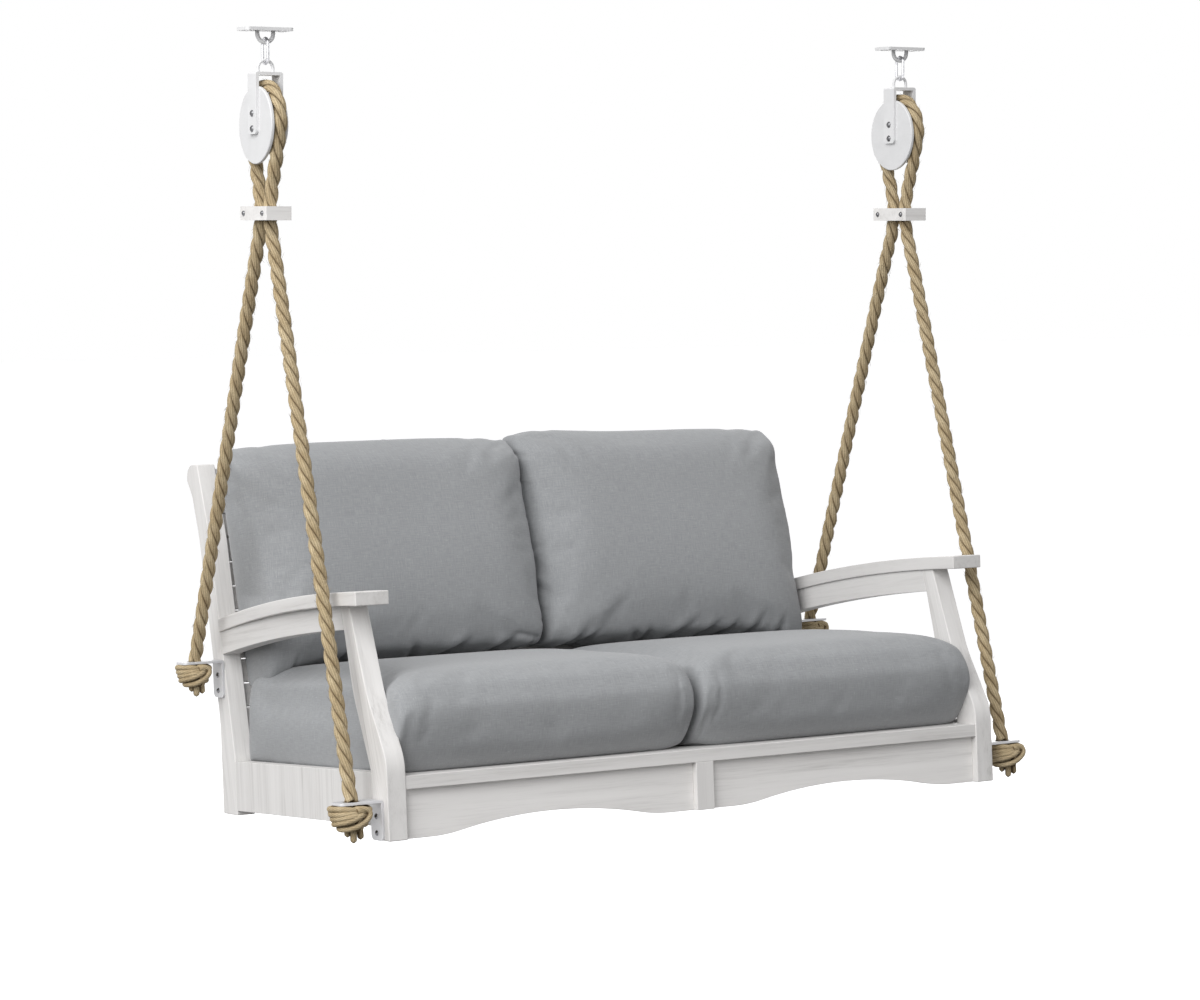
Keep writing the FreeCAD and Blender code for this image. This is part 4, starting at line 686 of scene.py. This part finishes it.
def crease(mesh, folds):
    """Presses tapering folds into a cushion's front and sides. A fold starts at a share across and up the
    front and runs at an angle for a length; at a distance c beside it and t along it the skin goes in by
    depth exp(-(c / width)^2) (1 - t / length)^2, and before its start by the whole depth. The width is
    1.2 times the depth, and the cloth stands up a little beside the fold."""
    points, normals = mesh_arrays(mesh)
    local, facing = seat_view(points), tip(normals, LEAN)
    low, high = local.min(axis=0), local.max(axis=0)
    reach = np.abs(local[:, 0])
    low[2] = local[reach < np.median(reach), 2].min()
    across, up = local[:, 0] - low[0], local[:, 2] - low[2]
    front = np.interp(facing[:, 1], FOLD_FACING, (1, 0))
    sink = np.zeros(len(points))
    for start_across, start_up, angle, length, depth in folds:
        run, rise = math.cos(math.radians(angle)), math.sin(math.radians(angle))
        width = FOLD_WIDTH * depth
        aside, above = across - start_across * (high[0] - low[0]), up - start_up * (high[2] - low[2])
        gone, beside = aside * run + above * rise, above * run - aside * rise
        taper = np.clip(1 - np.maximum(gone, 0) / length, 0, 1)**2 * (gone > -FOLD_LEAD)
        sink += depth * taper * np.exp(-(beside / width)**2)
        rim = (beside - FOLD_RIM_PLACE * width) / (FOLD_RIM_WIDTH * width)
        sink -= FOLD_RIM * depth * taper * np.exp(-rim**2)
    mesh.vertices.foreach_set("co", (points - (sink * front)[:, None] * normals).ravel())
    mesh.update()


SEAT_WIDER = 0.012
SEAT_LOWER = 0.006
SEAT_CORNER = 0.045
SEAT_ENDS = ((0.10, 0.05), (0.10, 0.07))
SEAT_DEPTHS = ((0.02, 0.02), (0.08, 0.035))
SEAT_EASE = 0.15
SEAT_EASE_ROUNDS = 24
SEAT_HEIGHT = 0.19
SEAT_NOSE = 0.08
SEAT_EDGE = 0.06
SEAT_HANG = 0.012
SEAT_EDGE_HANG = 0.008
SEAT_HANG_HEIGHT = 0.012
SEAT_HANG_SPREAD = 0.0005
SEAT_TUCK = 0.05
SEAT_TUCK_HEIGHT = 0.085
SEAT_TUCK_DEPTH = 0.14
SEAT_HEEL = 0.008
SEAT_HEEL_REACH = 0.07
SEAT_HEEL_HEIGHT = 0.12
SEAT_HEEL_WAY = (0.25, 1)
SEAT_HELD = 0.014
DECK_HEIGHT = 0.114
DECK_FALL = 0.0262
DECK_START = 0.072
CUSHION_EASE = 0.25
SEAT_ROUNDS = 5


def squarer(spots, ends):
    """Pushes the roundings at the two ends of a line of places outward: each end's first length is
    squeezed into its second, and the middle is stretched evenly between them."""
    low, high = spots.min(), spots.max()
    (first, first_new), (last, last_new) = ends
    stops = [low, low + first, high - last, high]
    return np.interp(spots, stops, [low, low + first_new, high - last_new, high])


def rounder(aside, above, radius):
    """Rounds a square corner: with a = 1 - aside / radius and b = 1 - above / radius inside the corner,
    a becomes a sqrt(1 - b b / 2) and b becomes b sqrt(1 - a a / 2)."""
    a, b = np.clip(1 - aside / radius, 0, 1), np.clip(1 - above / radius, 0, 1)
    return radius * (a - a * np.sqrt(1 - b * b / 2)), radius * (b - b * np.sqrt(1 - a * a / 2))


seat_shells, held = [], []
for side, sign in (("left", -1), ("right", 1)):
    shell = cushion_shell(side + "_seat_pad", side + "_seat_cushion", SEAT_VOXEL, SEAT_SHRINK)
    points = mesh_arrays(shell)[0]
    reach = squarer(sign * points[:, 0], SEAT_ENDS)
    outward = (reach - reach.min()) / np.ptp(reach)
    points[:, 0] = sign * (reach + SEAT_WIDER * outward)
    local = seat_view(points)
    deep = squarer(local[:, 1], SEAT_DEPTHS) - local[:, 1]
    points += deep[:, None] * SEAT_BACK
    shell.vertices.foreach_set("co", points.ravel())
    soften(shell, SEAT_EASE, SEAT_EASE_ROUNDS)
    points = mesh_arrays(shell)[0]
    local = seat_view(points)
    above = local[:, 2] - (DECK_HEIGHT - DECK_FALL * (local[:, 1] - DECK_START))
    reach = sign * points[:, 0]
    aside = np.minimum(reach - reach.min(), reach.max() - reach)
    behind = local[:, 1] - local[:, 1].min()
    nose = np.clip(1 - behind / SEAT_NOSE, 0, 1)
    from_end = 1 - nose * (1 - np.clip(aside / SEAT_EDGE, 0, 1))
    points[:, 2] -= SEAT_LOWER * np.clip(above / SEAT_HEIGHT, 0, 1)
    outside = np.clip(1 - (reach.max() - reach) / SEAT_EDGE, 0, 1)
    hang = (SEAT_HANG + SEAT_EDGE_HANG * outside) * from_end
    points[:, 2] -= hang * np.exp(-(above - SEAT_HANG_HEIGHT)**2 / SEAT_HANG_SPREAD)
    forward = np.clip(1 - behind / SEAT_TUCK_DEPTH, 0, 1)
    tucked = SEAT_TUCK * forward * np.clip(1 - above / SEAT_TUCK_HEIGHT, 0, 1)**2
    points += tucked[:, None] * SEAT_BACK
    inward, upward = rounder(aside, np.maximum(above, 0), SEAT_CORNER)
    points[:, 0] -= np.sign(reach - reach.mean()) * sign * inward * nose
    points += (upward * nose)[:, None] * SEAT_UP
    from_side = (reach.max() - reach) / SEAT_HEEL_REACH
    from_rear = (local[:, 1].max() - local[:, 1]) / SEAT_HEEL_REACH
    heel = SEAT_HEEL * np.exp(-from_side**2 - from_rear**2)
    heel = heel * np.clip(above / SEAT_HEEL_HEIGHT, 0, 1)**2
    points += heel[:, None] * seat_way(*SEAT_HEEL_WAY)
    shell.vertices.foreach_set("co", points.ravel())
    shell.update()
    seat_shells.append(shell)
    held.append(above < SEAT_HELD)
swell(seat_shells, held)
for side, shell in zip(("left", "right"), seat_shells):
    soften(shell, CUSHION_EASE, SEAT_ROUNDS)
    shell = finer(shell)
    lay_cloth(shell, 0.0)
    shell.shade_smooth()
    pad = new_piece(side + "_seat_pad", shell, cushion_fabric,
                    side + "_seat_cushion_loose")
    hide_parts(side + "_seat_cushion")

# Back cushions: loose pillows of the same cloth that stand on the seat cushions and lean on the
# slats, gathered along the seam at the foot.
BACK_VOXEL = 0.008
BACK_SHRINK = 0.008
BACK_LEAN = math.radians(10.6)
BACK_FOLDS = {
    "left": [
        (0.53, 0.05, 125, 0.04, 0.007), (0.69, 0.05, 40, 0.04, 0.008), (0.85, 0.05, 45, 0.045, 0.007),
        (0.88, 0.09, 168, 0.03, 0.004), (0.94, 0.05, 30, 0.02, 0.003), (0.30, 0.05, 100, 0.03, 0.006),
        (0.12, 0.05, 80, 0.03, 0.004), (1, 0.14, 170, 0.04, 0.004), (1, 0.30, 178, 0.03, 0.003),
        (1, 0.47, 172, 0.035, 0.003), (1, 0.63, 188, 0.04, 0.004), (1, 0.80, 195, 0.05, 0.005),
        (0.99, 0.93, 210, 0.05, 0.004), (0.55, 1, 278, 0.02, 0.002), (0, 0.15, 10, 0.04, 0.003),
    ],
    "right": [
        (0.13, 0.05, 55, 0.04, 0.008), (0.18, 0.055, 45, 0.03, 0.006), (0.39, 0.05, 120, 0.03, 0.007),
        (0.34, 0.05, 140, 0.03, 0.006), (0.52, 0.05, 42, 0.06, 0.008), (0.63, 0.05, 50, 0.035, 0.007),
        (0.71, 0.05, 60, 0.03, 0.006), (0.80, 0.05, 70, 0.05, 0.007), (0.89, 0.05, 85, 0.035, 0.007),
        (0, 0.18, 15, 0.03, 0.004), (0, 0.30, -40, 0.04, 0.006), (0, 0.45, 35, 0.055, 0.005),
        (0, 0.60, 5, 0.03, 0.003), (0, 0.76, -10, 0.035, 0.003), (0, 0.90, -25, 0.04, 0.004),
        (1, 0.25, 175, 0.04, 0.003), (1, 0.60, 180, 0.03, 0.003), (0.30, 1, 275, 0.02, 0.002),
    ],
}
BACK_TALLER = 0.012
BACK_WAY = (REAR_POST_SLOPE, 0.982)
BACK_SKIN = 0.015
BACK_DEPTH = 0.04
BACK_INNER = 0.22
BACK_WIDTH = 0.4
BACK_OVER_POST = {"left": 0.042, "right": 0.004}
BACK_REAR_SHARE = 0.3
BACK_PEAK = {"left": 0.0, "right": 0.011}
BACK_PEAK_PLACE = 0.06
BACK_PEAK_WIDTH = 0.12
BACK_TUCK = 0.016
BACK_TUCK_HEIGHT = 0.07
BACK_SAG = 0.044
BACK_SAG_HEIGHT = 0.12
BACK_SAG_REACH = 0.2
BACK_CORNER_OUT = {"left": 0.0, "right": 0.008}
BACK_HELD = 0.9
BACK_ROUNDS = 6
SLAT_BACK = 0.666
SLAT_HEIGHT = 0.182
ARM_HEIGHT = 0.42
OVER_ARM = 0.44

back_shells, held = [], []
for side, sign in (("left", -1), ("right", 1)):
    shell = cushion_shell(side + "_back_pad", side + "_back_cushion", BACK_VOXEL, BACK_SHRINK)
    points, normals = mesh_arrays(shell)
    local = seat_view(points)
    height = (local[:, 2] - local[:, 2].min()) / np.ptp(local[:, 2])
    slats = SLAT_BACK + math.tan(BACK_LEAN) * (local[:, 2] - SLAT_HEIGHT)
    ahead = np.clip((slats - local[:, 1] - BACK_SKIN) / BACK_DEPTH, 0, 1)
    reach = sign * points[:, 0]
    outward = np.clip((reach - BACK_INNER) / BACK_WIDTH, 0, 1)**2
    over_arm = np.clip((local[:, 2] - ARM_HEIGHT) / OVER_ARM, 0, 1)
    points += BACK_TALLER * height[:, None] * seat_way(*BACK_WAY)
    spread = BACK_REAR_SHARE + (1 - BACK_REAR_SHARE) * ahead
    points[:, 0] += sign * BACK_OVER_POST[side] * outward * spread * over_arm
    inner = np.exp(-((reach - reach.min() - BACK_PEAK_PLACE) / BACK_PEAK_WIDTH)**2)
    points[:, 2] += BACK_PEAK[side] * inner * height**3
    raised = local[:, 2] - local[:, 2].min()
    under = np.clip(1 - raised / BACK_TUCK_HEIGHT, 0, 1)**2
    points += (BACK_TUCK * under * ahead)[:, None] * SEAT_BACK
    foot = np.clip(1 - raised / BACK_SAG_HEIGHT, 0, 1)
    sag = foot * np.clip(1 - (reach.max() - reach) / BACK_SAG_REACH, 0, 1)**2
    points -= (BACK_SAG * sag)[:, None] * SEAT_UP
    points[:, 0] += sign * BACK_CORNER_OUT[side] * sag
    shell.vertices.foreach_set("co", points.ravel())
    shell.update()
    back_shells.append(shell)
    held.append(normals[:, 1] > BACK_HELD)
swell(back_shells, held)
for side, shell in zip(("left", "right"), back_shells):
    soften(shell, CUSHION_EASE, BACK_ROUNDS)
    shell = finer(shell)
    crease(shell, BACK_FOLDS[side])
    lay_cloth(shell, BACK_LEAN)
    shell.shade_smooth()
    pad = new_piece(side + "_back_pad", shell, cushion_fabric,
                    side + "_back_cushion_loose")
    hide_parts(side + "_back_cushion")

# Stage: a pale floor well below the hung seat, an even white surround, one broad lamp from the left
# in front and a weaker one from the right behind.
FLOOR_REACH = 40
FLOOR_HEIGHT = -2.3


def seen_share(tree):
    """One for rays from the camera and for mirrored or passed ones, nought for the rays that carry light."""
    paths = add(tree, "LightPath").outputs
    seen = sums(tree, "MAXIMUM", paths["Is Camera Ray"], paths["Is Glossy Ray"])
    return sums(tree, "MAXIMUM", seen, paths["Is Transmission Ray"])


floor_mesh = bpy.data.meshes.new("floor")
floor_mesh.from_pydata([
    (-FLOOR_REACH, -FLOOR_REACH, FLOOR_HEIGHT), (FLOOR_REACH, -FLOOR_REACH, FLOOR_HEIGHT),
    (FLOOR_REACH, FLOOR_REACH, FLOOR_HEIGHT), (-FLOOR_REACH, FLOOR_REACH, FLOOR_HEIGHT),
], [], [(0, 1, 2, 3)])
floor = bpy.data.objects.new("floor", floor_mesh)
bpy.context.scene.collection.objects.link(floor)
pale = bpy.data.materials.new("pale_floor")
pale.use_nodes = True
seen = seen_share(pale.node_tree)
shader = pale.node_tree.nodes["Principled BSDF"].inputs
shown = blend(pale.node_tree, seen, (0.1, 0.1, 0.1, 1), (0.9, 0.9, 0.9, 1))
pale.node_tree.links.new(shown, shader["Base Color"])
shader["Roughness"].default_value = 0.9
shader["Emission Strength"].default_value = 1.0
glow = blend(pale.node_tree, seen, (0, 0, 0, 1), (0.45, 0.45, 0.45, 1))
pale.node_tree.links.new(glow, shader["Emission Color"])
floor_mesh.materials.append(pale)
floor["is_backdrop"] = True

world = bpy.data.worlds.new("surround")
bpy.context.scene.world = world
world.use_nodes = True
surround = world.node_tree.nodes["Background"]
shown = blend(world.node_tree, seen_share(world.node_tree), (0.6, 0.6, 0.605, 1), (1, 1, 1, 1))
world.node_tree.links.new(shown, surround.inputs["Color"])
surround.inputs["Strength"].default_value = 1.0

for name, place, turn, size, power in (
    ("broad_lamp", (-4.4, -2.35, 2.3), (56.0, 0, -62.0), 5.25, 348),
    ("rear_lamp", (4.0, 5.6, 1.2), (74.0, 0, 144.5), 5.0, 150),
):
    lamp = bpy.data.lights.new(name, "AREA")
    lamp.shape = "SQUARE"
    lamp.size = size
    lamp.energy = power
    stand = bpy.data.objects.new(name, lamp)
    stand.location = place
    stand.rotation_euler = [math.radians(part) for part in turn]
    bpy.context.scene.collection.objects.link(stand)

view = bpy.data.cameras.new("view")
view.sensor_width = 36
view.lens = 102.978
view.clip_end = 200
camera = bpy.data.objects.new("view", view)
camera.location = (-3.3912, -5.7814, -0.3586)
camera.rotation_euler = (math.radians(85.4), 0, math.radians(-30.401))
bpy.context.scene.collection.objects.link(camera)
bpy.context.scene.camera = camera
bpy.context.scene.view_settings.view_transform = "Standard"

low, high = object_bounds()
